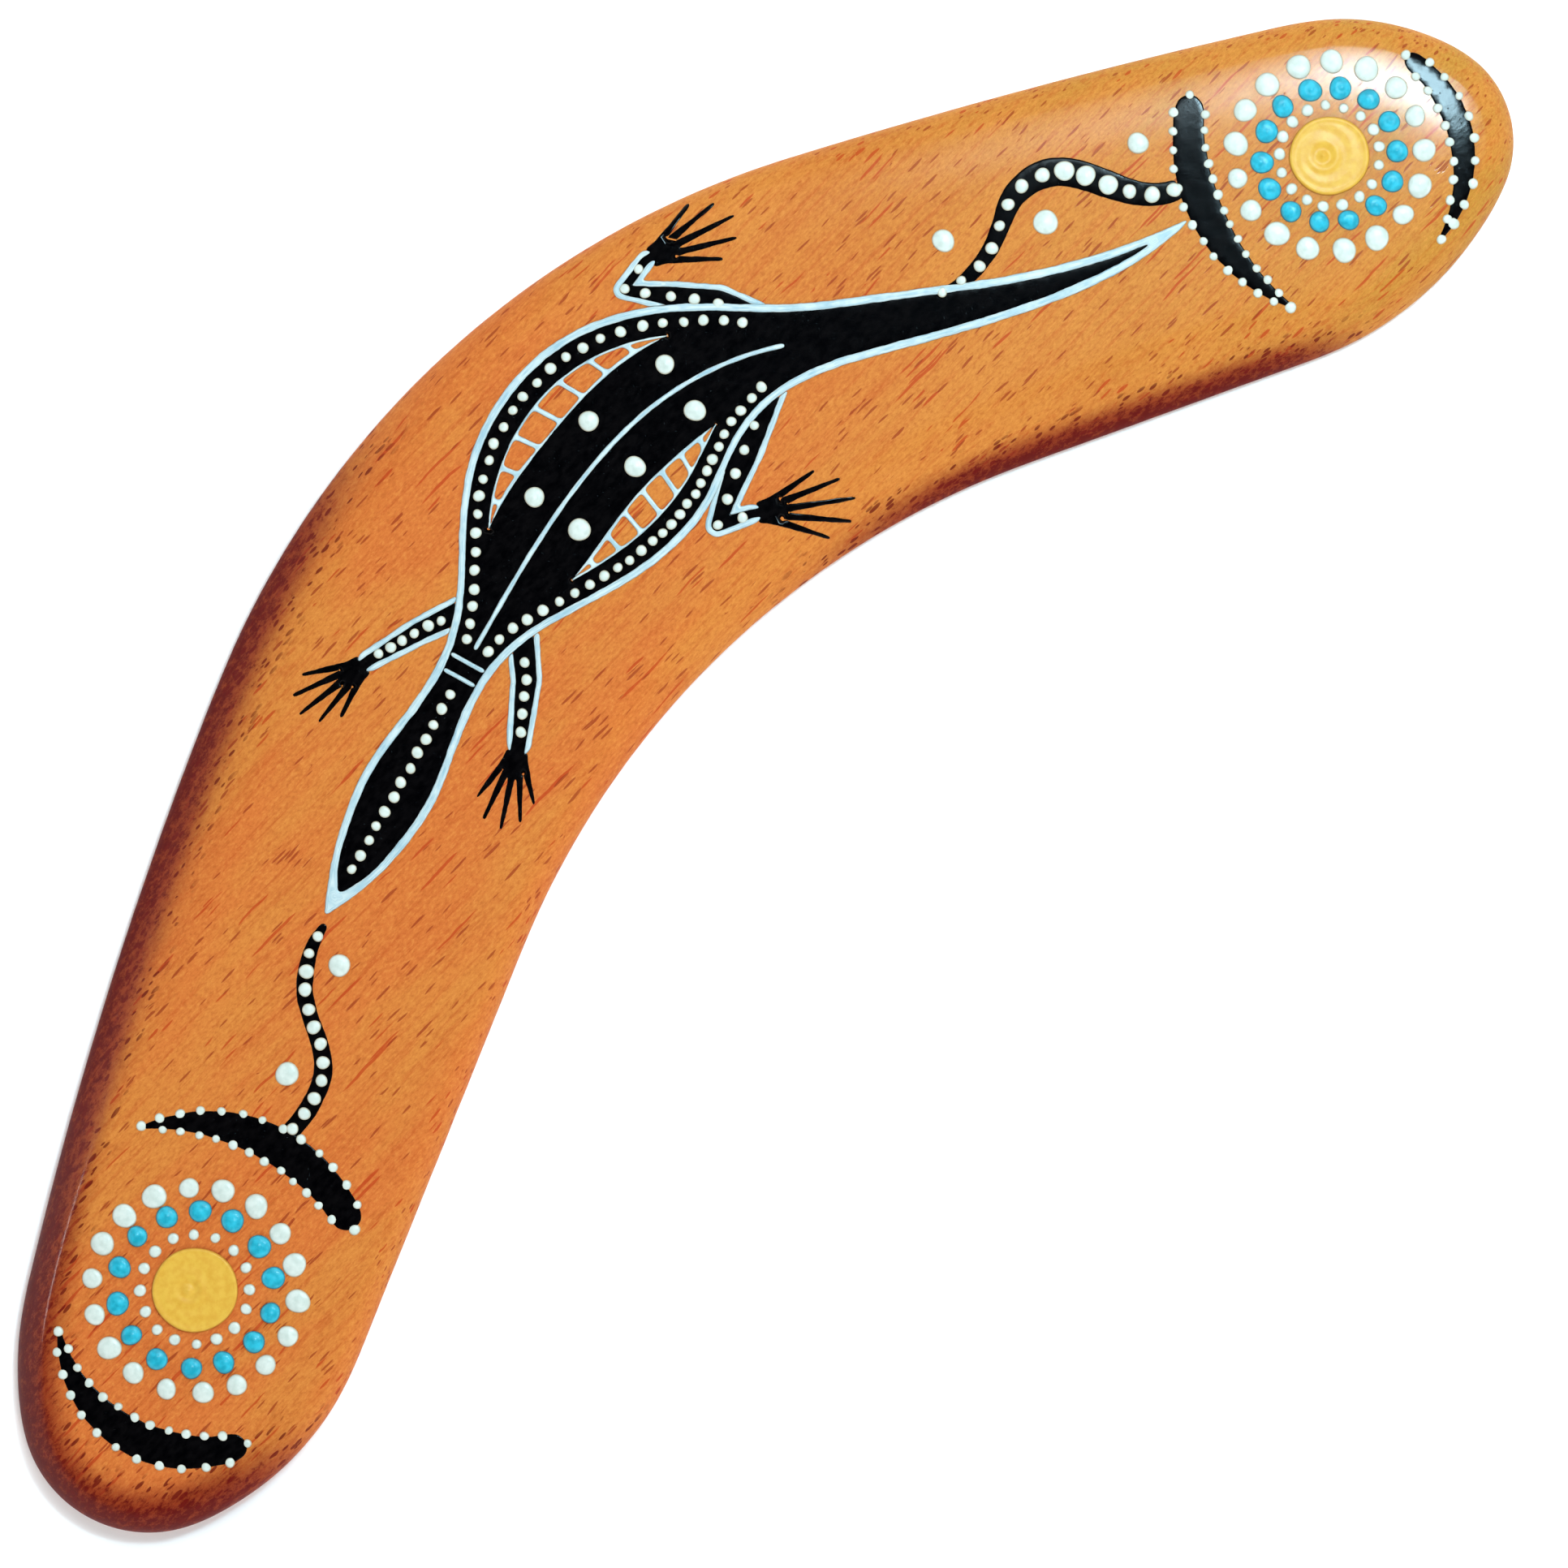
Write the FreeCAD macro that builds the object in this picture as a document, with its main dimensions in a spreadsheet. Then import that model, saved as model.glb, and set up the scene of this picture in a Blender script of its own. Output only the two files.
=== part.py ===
"""Painted hardwood boomerang: one wooden body, and the paint that has set on its face.

Millimetres. X runs along the span from tip to tip, Y points to the elbow, Z up. The flat
underside lies on Z = 0, and the origin is the centre of the whole object's box there.
"""
import FreeCAD, Part
import math
import os
import Sketcher
from FreeCAD import Placement, Rotation, Vector

doc = FreeCAD.newDocument("Boomerang")

# ---------------------------------------------------------------- driving dimensions

SIZES = {
    "board_thick": 8.0,
    # outline: radii of its ten arcs, centres of the four that fix the shape
    "elbow_outer_radius": 158.0,
    "elbow_outer_x": 4.8,
    "elbow_outer_y": -99.8,
    "elbow_inner_radius": 150.5,
    "elbow_inner_x": 5.5,
    "elbow_inner_y": -164.0,
    "left_nose_radius": 22.5,
    "left_nose_x": -154.9,
    "left_nose_y": -33.5,
    "right_nose_radius": 18.6,
    "right_nose_x": 158.7,
    "right_nose_y": -37.4,
    "left_back_radius": 728.0,
    "left_shoulder_radius": 58.6,
    "left_shoulder_x": -125.4,
    "left_chin_radius": 52.1,
    "right_chin_radius": 58.8,
    "right_shoulder_radius": 41.8,
    "right_shoulder_x": 136.2,
    "right_back_radius": 1106.0,
    "left_inner_slope": 22.3,
    "right_inner_slope": -25.8,
    # edge profile: a blunt leading edge and a long thin trailing bevel
    "lower_edge_round": 0.9,
    "leading_nose_rise": 3.0,
    "trailing_nose_rise": 1.4,
    "leading_bevel": 5.2,
    "trailing_bevel": 13.0,
    "tip_bevel": 5.4,
    # paint
    "film_thick": 0.15,
    "stroke_thick": 0.3,
    "stroke_wide": 1.4,
    "leg_stroke_wide": 1.0,
    "fine_stroke_wide": 0.8,
    "small_dot_radius": 0.95,
    "small_dot_rise": 0.35,
    "track_dot_radius": 1.1,
    "track_dot_rise": 0.4,
    "big_dot_radius": 1.9,
    "big_dot_rise": 0.6,
    "loose_dot_radius": 2.15,
    "loose_dot_rise": 0.65,
    # the two suns: a yellow disc inside three rings of dots
    "disc_thick": 0.6,
    "disc_edge_round": 0.3,
    "inner_dot_radius": 1.0,
    "inner_dot_rise": 0.4,
    "blue_dot_radius": 1.95,
    "blue_dot_rise": 0.9,
    "outer_dot_radius": 2.0,
    "outer_dot_rise": 0.7,
    "left_sun_x": -134.2,
    "left_sun_y": -25.3,
    "left_disc_radius": 7.5,
    "left_inner_ring": 9.6,
    "left_blue_ring": 13.75,
    "left_outer_ring": 18.0,
    "left_inner_count": 16,
    "left_inner_start": 0,
    "left_blue_count": 14,
    "left_blue_start": 15,
    "left_outer_count": 18,
    "left_outer_start": 8,
    "right_sun_x": 146.8,
    "right_sun_y": -29.1,
    "right_disc_radius": 7.0,
    "right_inner_ring": 8.8,
    "right_blue_ring": 11.9,
    "right_outer_ring": 16.6,
    "right_inner_count": 17,
    "right_inner_start": 6,
    "right_blue_count": 14,
    "right_blue_start": 10,
    "right_outer_count": 17,
    "right_outer_start": 0,
    # crescents round the suns: middle of the chord, direction of the chord, chord, how far
    # the crescent's middle stands off the chord, its greatest width, and that of its blunt end
    "left_inner_moon_x": -113.7,
    "left_inner_moon_y": -18.2,
    "left_inner_moon_turn": -71.5,
    "left_inner_moon_chord": 41.0,
    "left_inner_moon_bow": 7.3,
    "left_inner_moon_wide": 6.4,
    "left_inner_moon_end": 5.0,
    "left_outer_moon_x": -151.6,
    "left_outer_moon_y": -31.8,
    "left_outer_moon_turn": 103.2,
    "left_outer_moon_chord": 38.2,
    "left_outer_moon_bow": 9.3,
    "left_outer_moon_wide": 6.2,
    "left_outer_moon_end": 4.4,
    "right_inner_moon_x": 130.4,
    "right_inner_moon_y": -23.6,
    "right_inner_moon_turn": 69.7,
    "right_inner_moon_chord": 40.9,
    "right_inner_moon_bow": 6.5,
    "right_inner_moon_wide": 6.0,
    "right_inner_moon_end": 4.8,
    "right_outer_moon_x": 159.3,
    "right_outer_moon_y": -39.9,
    "right_outer_moon_turn": -125.3,
    "right_outer_moon_chord": 32.6,
    "right_outer_moon_bow": 6.9,
    "right_outer_moon_wide": 4.2,
    "right_outer_moon_end": 3.0,
}

sheet = doc.addObject("Spreadsheet::Sheet", "Sizes")
for row, (alias, value) in enumerate(SIZES.items(), start=1):
    sheet.set(f"A{row}", alias)
    sheet.set(f"B{row}", str(value))
    sheet.setAlias(f"B{row}", alias)
doc.recompute()


def size(alias):
    """The value of a named cell."""
    return float(sheet.get(alias))


def label(thing, name):
    """Gives a thing the label that its file is named after."""
    thing.Label = name
    return thing


def smooth(value, low, high):
    """0 below low, 1 above high, and an even ramp without corners between."""
    part = min(max((value - low) / (high - low), 0.0), 1.0)
    return part * part * (3 - 2 * part)


def mix(first, second, part):
    return first + (second - first) * part


def flat(x, y):
    return Vector(x, y, 0)


def heading(degrees):
    angle = math.radians(degrees)
    return flat(math.cos(angle), math.sin(angle))


# ---------------------------------------------------------------- the outline

# Each stretch of the outline with where it ends, anticlockwise from the elbow. The ends
# only start the sketch off: its constraints decide where they come to lie.
STRETCHES = [
    ("elbow_outer", (-60, 45)),
    ("left_back", (-155, -4)),
    ("left_shoulder", (-174, -23)),
    ("left_nose", (-164, -54)),
    ("left_chin", (-122, -54)),
    ("left_inner_side", (-54, -26)),
    ("elbow_inner", (74, -30)),
    ("right_inner_side", (121, -53)),
    ("right_chin", (165, -55)),
    ("right_nose", (177, -34)),
    ("right_shoulder", (163, -12)),
    ("right_back", (88, 35)),
]
HOLLOW = "elbow_inner"


def arc_between(start, end, radius, hollow):
    """The short arc of this radius from start to end, left or right of its chord."""
    chord = end - start
    across = flat(-chord.y, chord.x).normalize()
    rise = math.sqrt(max(radius ** 2 - (chord.Length / 2) ** 2, 0.0))
    centre = (start + end) * 0.5 + across * (-rise if hollow else rise)
    first, second = (end, start) if hollow else (start, end)
    low = math.atan2(first.y - centre.y, first.x - centre.x)
    high = math.atan2(second.y - centre.y, second.x - centre.x)
    if high < low:
        high += 2 * math.pi
    return Part.ArcOfCircle(Part.Circle(centre, Vector(0, 0, 1), radius), low, high)


def outline_sketch():
    """The boomerang seen from above: ten arcs and two straights, each tangent to the next."""
    sketch = doc.addObject("Sketcher::SketchObject", "Outline")
    ends = [flat(*end) for _, end in STRETCHES]
    ports = []
    for number, (name, _) in enumerate(STRETCHES):
        start, end = ends[number - 1], ends[number]
        if name.endswith("side"):
            sketch.addGeometry(Part.LineSegment(start, end), False)
            ports.append((1, 2))
        else:
            arc = arc_between(start, end, size(name + "_radius"), name == HOLLOW)
            sketch.addGeometry(arc, False)
            ports.append((2, 1) if name == HOLLOW else (1, 2))
    count = len(STRETCHES)
    for number in range(count):
        after = (number + 1) % count
        joint = (number, ports[number][1], after, ports[after][0])
        sketch.addConstraint(Sketcher.Constraint("Tangent", *joint))

    def hold(alias, *constraint):
        index = sketch.addConstraint(Sketcher.Constraint(*constraint, size(alias)))
        sketch.setExpression(f"Constraints[{index}]", f"Sizes.{alias}")

    for number, (name, _) in enumerate(STRETCHES):
        if name.endswith("side"):
            slope = name.replace("side", "slope")
            radians = math.radians(size(slope))
            index = sketch.addConstraint(Sketcher.Constraint("Angle", number, radians))
            sketch.setExpression(f"Constraints[{index}]", f"Sizes.{slope} * 1deg")
            continue
        hold(name + "_radius", "Radius", number)
        if name + "_x" in SIZES:
            hold(name + "_x", "DistanceX", -1, 1, number, 3)
        if name + "_y" in SIZES:
            hold(name + "_y", "DistanceY", -1, 1, number, 3)
    doc.recompute()
    return sketch


# ---------------------------------------------------------------- the wooden body

# The way each arm's trailing edge faces, and where the bevels change over and narrow.
LEFT_TRAILING = heading(115)
RIGHT_TRAILING = heading(-118)
CHANGE_OVER = 60.0
TIP_BEGINS, TIP_ENDS = 95.0, 150.0
# Heights of the level rings as shares of the board's thickness, closer where it curves more.
RING_HEIGHTS = [0.0, 0.05, 0.13, 0.22, 0.32, 0.44, 0.57, 0.70, 0.81, 0.90, 0.965, 1.0]
SAMPLE_SPACING = 9.0
SAMPLE_TURN = math.radians(12)
LEADING_POWER = 2.0
TRAILING_POWER = 1.45


def trailing_share(place, outward):
    """0 on a blunt leading edge, 1 on a trailing bevel. The two arms of a returning
    boomerang turn the same way round, so the bevel changes side at the elbow."""
    right = smooth(place.x, -CHANGE_OVER, CHANGE_OVER)
    on_left = 0.5 + 0.5 * outward.dot(LEFT_TRAILING)
    on_right = 0.5 + 0.5 * outward.dot(RIGHT_TRAILING)
    return mix(on_left, on_right, right)


def inset(share, tip, rise):
    """How far the edge has drawn in from the outline at a height above the underside.

    share is the trailing share of the edge, and tip is 1 at the tips and 0 along the arms.
    """
    thick = size("board_thick")
    nose = mix(size("leading_nose_rise"), size("trailing_nose_rise"), share)
    if rise <= nose:
        drop = (nose - rise) / nose
        return size("lower_edge_round") * (1 - math.sqrt(1 - drop ** 2))
    bevel = mix(mix(size("leading_bevel"), size("trailing_bevel"), share), size("tip_bevel"), tip)
    power = mix(LEADING_POWER, TRAILING_POWER, share)
    climb = (rise - nose) / (thick - nose)
    return bevel * (1 - (1 - climb ** power) ** (1 / power))


def outline_stations(sketch):
    """Points round the outline with the outward direction at each."""
    stations = []
    wire = sketch.Shape.Wires[0]
    for edge in wire.OrderedEdges:
        turn = edge.Length / edge.Curve.Radius if hasattr(edge.Curve, "Radius") else 0.0
        steps = max(math.ceil(edge.Length / SAMPLE_SPACING), math.ceil(turn / SAMPLE_TURN))
        forward = edge.Orientation == "Forward"
        for step in range(steps):
            part = step / steps
            if not forward:
                part = 1 - part
            at = edge.getParameterByLength(edge.Length * part)
            along = edge.tangentAt(at)
            if not forward:
                along = along * -1
            stations.append((edge.valueAt(at), flat(along.y, -along.x)))
    area = sum(a[0].x * b[0].y - b[0].x * a[0].y for a, b in zip(stations, stations[1:]))
    if area < 0:
        stations = [(place, outward * -1) for place, outward in stations]
    return stations


def wooden_body(sketch):
    """A loft through level rings, each drawn in from the outline by the edge profile."""
    stations = outline_stations(sketch)
    rings = []
    for number, part in enumerate(RING_HEIGHTS):
        rise = part * size("board_thick")
        points = []
        for place, outward in stations:
            share = trailing_share(place, outward)
            tip = smooth(abs(place.x), TIP_BEGINS, TIP_ENDS)
            point = place - outward * inset(share, tip, rise)
            points.append(Vector(point.x, point.y, rise))
        curve = Part.BSplineCurve()
        if not rings:
            steps = [0.0]
            for here, after in zip(points, points[1:] + points[:1]):
                steps.append(steps[-1] + (after - here).Length)
        curve.interpolate(Points=points, PeriodicFlag=True, Parameters=steps)
        ring = doc.addObject("Part::Feature", f"Ring{number}")
        ring.Shape = Part.Wire(curve.toShape())
        rings.append(ring)
    loft = doc.addObject("Part::Loft", "WoodenBody")
    loft.Sections = rings
    loft.Solid = True
    loft.Ruled = False
    doc.recompute()
    return label(loft, "wooden_body")


# ---------------------------------------------------------------- ways to lay paint

def drawn(name, face):
    """A flat patch of paint, drawn on the XY plane."""
    patch = doc.addObject("Part::Feature", name + "_patch")
    patch.Shape = face
    return patch


def laid(name, face, thick="film_thick", over=None):
    """A patch given its thickness and laid on the board, or on top of another film."""
    paint = doc.addObject("Part::Extrusion", name)
    paint.Base = drawn(name, face)
    paint.DirMode = "Custom"
    paint.Dir = Vector(0, 0, 1)
    paint.Solid = True
    ground = "Sizes.board_thick"
    depth = f"Sizes.{thick}"
    if over:
        ground += f" + Sizes.{over}"
        depth += f" - Sizes.{over}"
    paint.setExpression("LengthFwd", depth)
    paint.setExpression("Placement.Base.z", ground)
    return label(paint, name)


def cut(name, base, tool):
    """The first piece of paint with the room that the second takes left out of it."""
    label(base, name + "_uncut")
    result = doc.addObject("Part::Cut", name + "_cut")
    result.Base = base
    result.Tool = tool
    return label(result, name)


def cap(place, radius, rise, ground):
    """A drop of paint: the top of a ball, standing on its flat side."""
    ball = (radius ** 2 + rise ** 2) / (2 * rise)
    centre = Vector(place.x, place.y, ground + rise - ball)
    latitude = math.degrees(math.asin((ball - rise) / ball))
    return Part.makeSphere(ball, centre, Vector(0, 0, 1), latitude, 90, 360)


def drops(name, places, kind, over=None):
    """A group of drops in one node, each a solid of its own."""
    ground = size("board_thick") + (size(over) if over else 0.0)
    radius, rise = size(kind + "_radius"), size(kind + "_rise")
    group = doc.addObject("Part::Feature", name)
    group.Shape = Part.Compound([cap(place, radius, rise, ground) for place in places])
    return label(group, name)


def curve_through(points, closed=False):
    curve = Part.BSplineCurve()
    curve.interpolate(Points=points, PeriodicFlag=closed)
    return curve


def sample(curve, first, last, count):
    """Points at even steps of length along a curve."""
    steps = [first + (last - first) * number / (count - 1) for number in range(count)]
    start = curve.FirstParameter
    return [curve.value(curve.parameterAtDistance(step, start)) for step in steps]


def beside(curve, distance, offset):
    """The point at a distance along a curve, stepped off to its left."""
    at = curve.parameterAtDistance(max(distance, 0.0), curve.FirstParameter)
    along = curve.tangent(at)[0]
    place = curve.value(at) + along * min(distance, 0.0)
    return place + flat(-along.y, along.x) * offset


def face_up(wire):
    """The face inside a closed flat wire, looking up."""
    face = Part.Face(wire)
    if face.normalAt(0, 0).z < 0:
        face.reverse()
    return face


def ribbon(curve, stations, grow=0.0):
    """The face between two sides of a curve. Stations are (distance, half width)."""
    left = [beside(curve, where, half + grow) for where, half in stations]
    right = [beside(curve, where, -half - grow) for where, half in stations]
    sides = [curve_through(left), curve_through(right[::-1])]
    edges = [sides[0].toShape(), Part.makeLine(left[-1], right[-1])]
    edges += [sides[1].toShape(), Part.makeLine(right[0], left[0])]
    return face_up(Part.Wire(edges))


def single(shape):
    """A flat boolean's result with its inner seams gone: its one face, or a compound."""
    shape = shape.removeSplitter()
    return shape.Faces[0] if len(shape.Faces) == 1 else Part.Compound(shape.Faces)


# ---------------------------------------------------------------- PartDesign pieces

def body_on_face(name, x, y, turn="0"):
    """A body whose origin stands on the board's face at a named place."""
    body = doc.addObject("PartDesign::Body", name)
    body.setExpression("Placement.Base.x", x)
    body.setExpression("Placement.Base.y", y)
    body.setExpression("Placement.Base.z", "Sizes.board_thick")
    body.setExpression("Placement.Rotation.Angle", f"{turn} * 1deg")
    body.AllowCompound = True
    return label(body, name)


def origin_plane(body, role):
    return next(plane for plane in body.Origin.OriginFeatures if plane.Role == role)


def sketch_on(body, role="XY_Plane"):
    sketch = body.newObject("Sketcher::SketchObject", body.Name + "_sketch")
    sketch.AttachmentSupport = [(origin_plane(body, role), "")]
    sketch.MapMode = "FlatFace"
    return sketch


def tie(sketch, expression, *constraint):
    """A constraint whose value is worked out from the sheet."""
    index = sketch.addConstraint(Sketcher.Constraint(*constraint))
    sketch.setExpression(f"Constraints[{index}]", expression)


def sun_disc(side):
    """A thick yellow disc with a rounded rim."""
    sun = f"Sizes.{side}_sun_"
    body = body_on_face(f"{side}_sun_disc", sun + "x", sun + "y")
    sketch = sketch_on(body)
    radius = size(side + "_disc_radius")
    sketch.addGeometry(Part.Circle(Vector(), Vector(0, 0, 1), radius), False)
    sketch.addConstraint(Sketcher.Constraint("Coincident", 0, 3, -1, 1))
    tie(sketch, f"Sizes.{side}_disc_radius", "Radius", 0, radius)
    pad = body.newObject("PartDesign::Pad", body.Name + "_pad")
    pad.Profile = sketch
    pad.setExpression("Length", "Sizes.disc_thick")
    doc.recompute()
    rim = body.newObject("PartDesign::Fillet", body.Name + "_rim")
    rim.Base = (pad, [top_edge(pad.Shape)])
    rim.setExpression("Radius", "Sizes.disc_edge_round")
    return body


def top_edge(shape):
    """The name of the highest level edge."""
    heights = [(edge.BoundBox.ZMin, number) for number, edge in enumerate(shape.Edges, 1)]
    return f"Edge{max(heights)[1]}"


def sun_ring(side, kind):
    """A drop turned from its section, repeated round the sun."""
    sun = f"Sizes.{side}_sun_"
    start_turn = f"Sizes.{side}_{kind}_start"
    body = body_on_face(f"{side}_sun_{kind}_dots", sun + "x", sun + "y", start_turn)
    sketch = sketch_on(body, "XZ_Plane")
    out, radius = size(f"{side}_{kind}_ring"), size(kind + "_dot_radius")
    rise = size(kind + "_dot_rise")
    ball = (radius ** 2 + rise ** 2) / (2 * rise)
    centre = flat(out, rise - ball)
    start = math.asin((ball - rise) / ball)
    rim, peak = flat(out + radius, 0), flat(out, rise)
    sketch.addGeometry(Part.LineSegment(flat(out, 0), rim), False)
    dome = Part.ArcOfCircle(Part.Circle(centre, Vector(0, 0, 1), ball), start, math.pi / 2)
    sketch.addGeometry(dome, False)
    sketch.addGeometry(Part.LineSegment(peak, flat(out, 0)), False)
    for joint in [(0, 2, 1, 1), (1, 2, 2, 1), (2, 2, 0, 1)]:
        sketch.addConstraint(Sketcher.Constraint("Coincident", *joint))
    sketch.addConstraint(Sketcher.Constraint("Horizontal", 0))
    sketch.addConstraint(Sketcher.Constraint("Vertical", 2))
    sketch.addConstraint(Sketcher.Constraint("PointOnObject", 0, 1, -1))
    sketch.addConstraint(Sketcher.Constraint("PointOnObject", 1, 3, 2))
    tie(sketch, f"Sizes.{side}_{kind}_ring", "DistanceX", -1, 1, 0, 1, out)
    tie(sketch, f"Sizes.{kind}_dot_radius", "Distance", 0, radius)
    tie(sketch, f"Sizes.{kind}_dot_rise", "Distance", 2, rise)
    drop = body.newObject("PartDesign::Revolution", body.Name + "_drop")
    drop.Profile = sketch
    drop.ReferenceAxis = (sketch, ["Edge3"])
    drop.Angle = 360
    doc.recompute()
    ring = body.newObject("PartDesign::PolarPattern", body.Name + "_ring")
    ring.Originals = [drop]
    ring.Axis = (next(a for a in body.Origin.OriginFeatures if a.Role == "Z_Axis"), [""])
    ring.Angle = 360
    ring.setExpression("Occurrences", f"Sizes.{side}_{kind}_count")
    body.Tip = ring
    return body


def bowed_arc(half, bow):
    """The arc over a chord along X that stands off it by bow."""
    radius = (half ** 2 + bow ** 2) / (2 * bow)
    start = math.atan2(radius - bow, half)
    circle = Part.Circle(flat(0, bow - radius), Vector(0, 0, 1), radius)
    return Part.ArcOfCircle(circle, start, math.pi - start)


def moon_line(name):
    """The arc along the middle of a crescent, and its length."""
    arc = bowed_arc(size(f"{name}_moon_chord") / 2, size(f"{name}_moon_bow"))
    turn = Rotation(Vector(0, 0, 1), size(f"{name}_moon_turn"))
    stand = Placement(flat(size(f"{name}_moon_x"), size(f"{name}_moon_y")), turn)
    arc.transform(stand.toMatrix())
    return arc, arc.length()


def moon_half(name, where, length):
    """Half a crescent's width at a distance along it: one end is pointed, the other blunt."""
    if name.endswith("inner"):
        where = length - where
    fullest = size(f"{name}_moon_wide") / 2
    end = size(f"{name}_moon_end") / 2
    share = where / length
    if share < MOON_FULLEST:
        half = mix(MOON_POINT, fullest, math.sin(math.pi / 2 * share / MOON_FULLEST))
    else:
        half = mix(fullest, end, smooth(share, MOON_FULLEST, 1.0))
    rounding = max(0.0, (where - (length - end)) / end)
    return max(MOON_POINT, half * math.sqrt(max(0.0, 1 - rounding ** 2)))


def moon(name):
    """A crescent of black film along its arc."""
    arc, length = moon_line(name)
    end = size(f"{name}_moon_end") / 2
    steps = [(length - end) * number / MOON_STEPS for number in range(MOON_STEPS + 1)]
    steps += [length - end + end * math.sin(math.radians(turn)) for turn in (30, 55, 75, 90)]
    if name.endswith("inner"):
        steps = [length - step for step in reversed(steps)]
    stations = [(step, moon_half(name, step, length)) for step in steps]
    return laid(f"{name}_crescent", ribbon(arc, stations))


MOON_FULLEST = 0.62
MOON_POINT = 0.2
MOON_STEPS = 10
MOON_DOTS = {"left_inner": (14, 12), "left_outer": (13, 11),
             "right_inner": (15, 13), "right_outer": (11, 9)}


def moon_dots(name, crescent):
    """Small drops in even steps along both edges of a crescent, which they overlap."""
    arc, length = moon_line(name)
    places = []
    for side, count in zip((-1, 1), MOON_DOTS[name]):
        ends = 0.0 if side < 0 else length / (count + 1)
        for number in range(count):
            where = mix(ends, length - ends, number / (count - 1))
            places.append(beside(arc, where, side * moon_half(name, where, length)))
    dots = drops(f"{name}_crescent_dots", places, "small_dot")
    return cut(f"{name}_crescent_dots", dots, crescent)


# ---------------------------------------------------------------- tracks

# A winding black track with one row of drops: its route, and its half width on the way.
LEFT_TRACK = [(-72.4, 3.0), (-76, 2.2), (-80.4, -0.1), (-84.4, -4), (-87.2, -9.4), (-89.8, -13.4),
              (-93.6, -16.3), (-98.6, -17.6), (-104.4, -17.8)]
LEFT_TRACK_WIDTH = [(0, 0.5), (5, 1.1), (14, 1.35), (26, 1.5), (36, 1.5), (44, 1.5)]
RIGHT_TRACK = [(80.0, 3.5), (84.6, 2.2), (90.3, 1.2), (95, 2.4), (100, 4.7), (105.1, 5.7), (110.2, 4.2),
               (113.8, 0.4), (116.4, -5.4), (119.6, -10.8), (124.2, -14.2)]
RIGHT_TRACK_WIDTH = [(0, 0.7), (8, 1.15), (16, 1.4), (24, 1.9), (32, 2.4), (42, 2.3), (50, 1.9),
                     (60, 1.7)]


def track(name, route, widths, tool, first, last, radii):
    """The track's ribbon, cut by the crescent it runs up to, and its drops."""
    curve = curve_through([flat(*point) for point in route])
    ends = [where for where, _ in widths]
    widths = widths[:-1] + [(min(ends[-1], curve.length()), widths[-1][1])]
    cut(name, laid(name, ribbon(curve, widths)), tool)
    places = sample(curve, first, last, len(radii))
    ground = size("board_thick") + size("film_thick")
    rise = size("track_dot_rise")
    group = doc.addObject("Part::Feature", name + "_dots")
    caps = [cap(place, radius, rise, ground) for place, radius in zip(places, radii)]
    group.Shape = Part.Compound(caps)
    label(group, name + "_dots")


# ---------------------------------------------------------------- the lizard

# The line of the back, from the tip of the head to the tip of the tail, which bends with
# the board, and the half width of the body at distances along that line.
BACK = [(-70, 4.5), (-47, 10.3), (-24.5, 16.5), (-4, 21.8), (20, 25.6), (42, 23.2), (57, 15.8),
        (84, -2.2), (121.4, -19.2)]
HEAD_AND_TRUNK = [(0, 0.5), (7, 3.0), (16, 5.3), (25, 6.1), (35, 4.9), (47, 3.9), (56, 5.6),
                  (66, 10.6), (78, 16.8), (90, 19.6), (102, 18.6), (113, 14.2), (123, 9.4),
                  (132, 6.4), (150, 4.4), (172, 2.8), (192, 1.3), (205, 0.3)]
TIP_HALF = 0.15
NOSE_BEYOND = 1.2
NOSE_PAINT_DEEP = 3.4
TAIL_PAINT_LONG = 8.0
NECK_BANDS = (46.5, 49.5)
CENTRE_LINE = (52, 131)
BORDER_DOTS = (53, 125)
BORDER_DOT_COUNT = 27
BORDER_DOT_INSET = 2.6
HEAD_DOTS = (8, 43)
HEAD_DOT_COUNT = 13
TRUNK_DROPS = [(80, 5.0), (95.5, 5.6), (111, 4.8)]

# A window left bare on each side of the back: a leaf shape crossed by bars.
WINDOW_ENDS = (71, 114)
WINDOW_WIDE = 5.6
WINDOW_INSET = 5.0
WINDOW_BARS = 7
WINDOW_BAR_LEAN = -4.0


class Lizard:
    """Width and side places of the lizard, worked out from the line of its back."""

    def __init__(self):
        self.back = curve_through([flat(*point) for point in BACK])
        self.length = self.back.length()
        places = [flat(where, half) for where, half in HEAD_AND_TRUNK]
        self.profile = curve_through(places)

    def half(self, where):
        """Half width at a distance along the back."""
        low, high = self.profile.FirstParameter, self.profile.LastParameter
        for _ in range(30):
            middle = (low + high) / 2
            if self.profile.value(middle).x < where:
                low = middle
            else:
                high = middle
        return self.profile.value(low).y

    def skin(self, grow, first, last):
        """The outline of head, trunk and tail, grown or drawn in all round."""
        between = [where for where, _ in HEAD_AND_TRUNK if first + 2 < where < last - 2]
        stations = [(where, self.half(where) + grow) for where in between]
        return ribbon(self.back, [(first, TIP_HALF)] + stations + [(last, TIP_HALF)])

    def window(self, side, shrink=0.0):
        """A leaf beside the back, between the border dots and the middle."""
        first, last = WINDOW_ENDS
        steps = 7
        outer, inner = [], []
        for number in range(steps):
            part = number / (steps - 1)
            where = mix(first + 2.5 * shrink, last - 2.5 * shrink, part)
            edge = self.half(where) - WINDOW_INSET - shrink
            leaf = max(WINDOW_WIDE * math.sin(math.pi * part) - 2 * shrink, 0.0)
            outer.append(beside(self.back, where, side * edge))
            inner.append(beside(self.back, where, side * (edge - leaf)))
        sides = [curve_through(outer).toShape(), curve_through(inner[::-1]).toShape()]
        return face_up(Part.Wire(sides))


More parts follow.
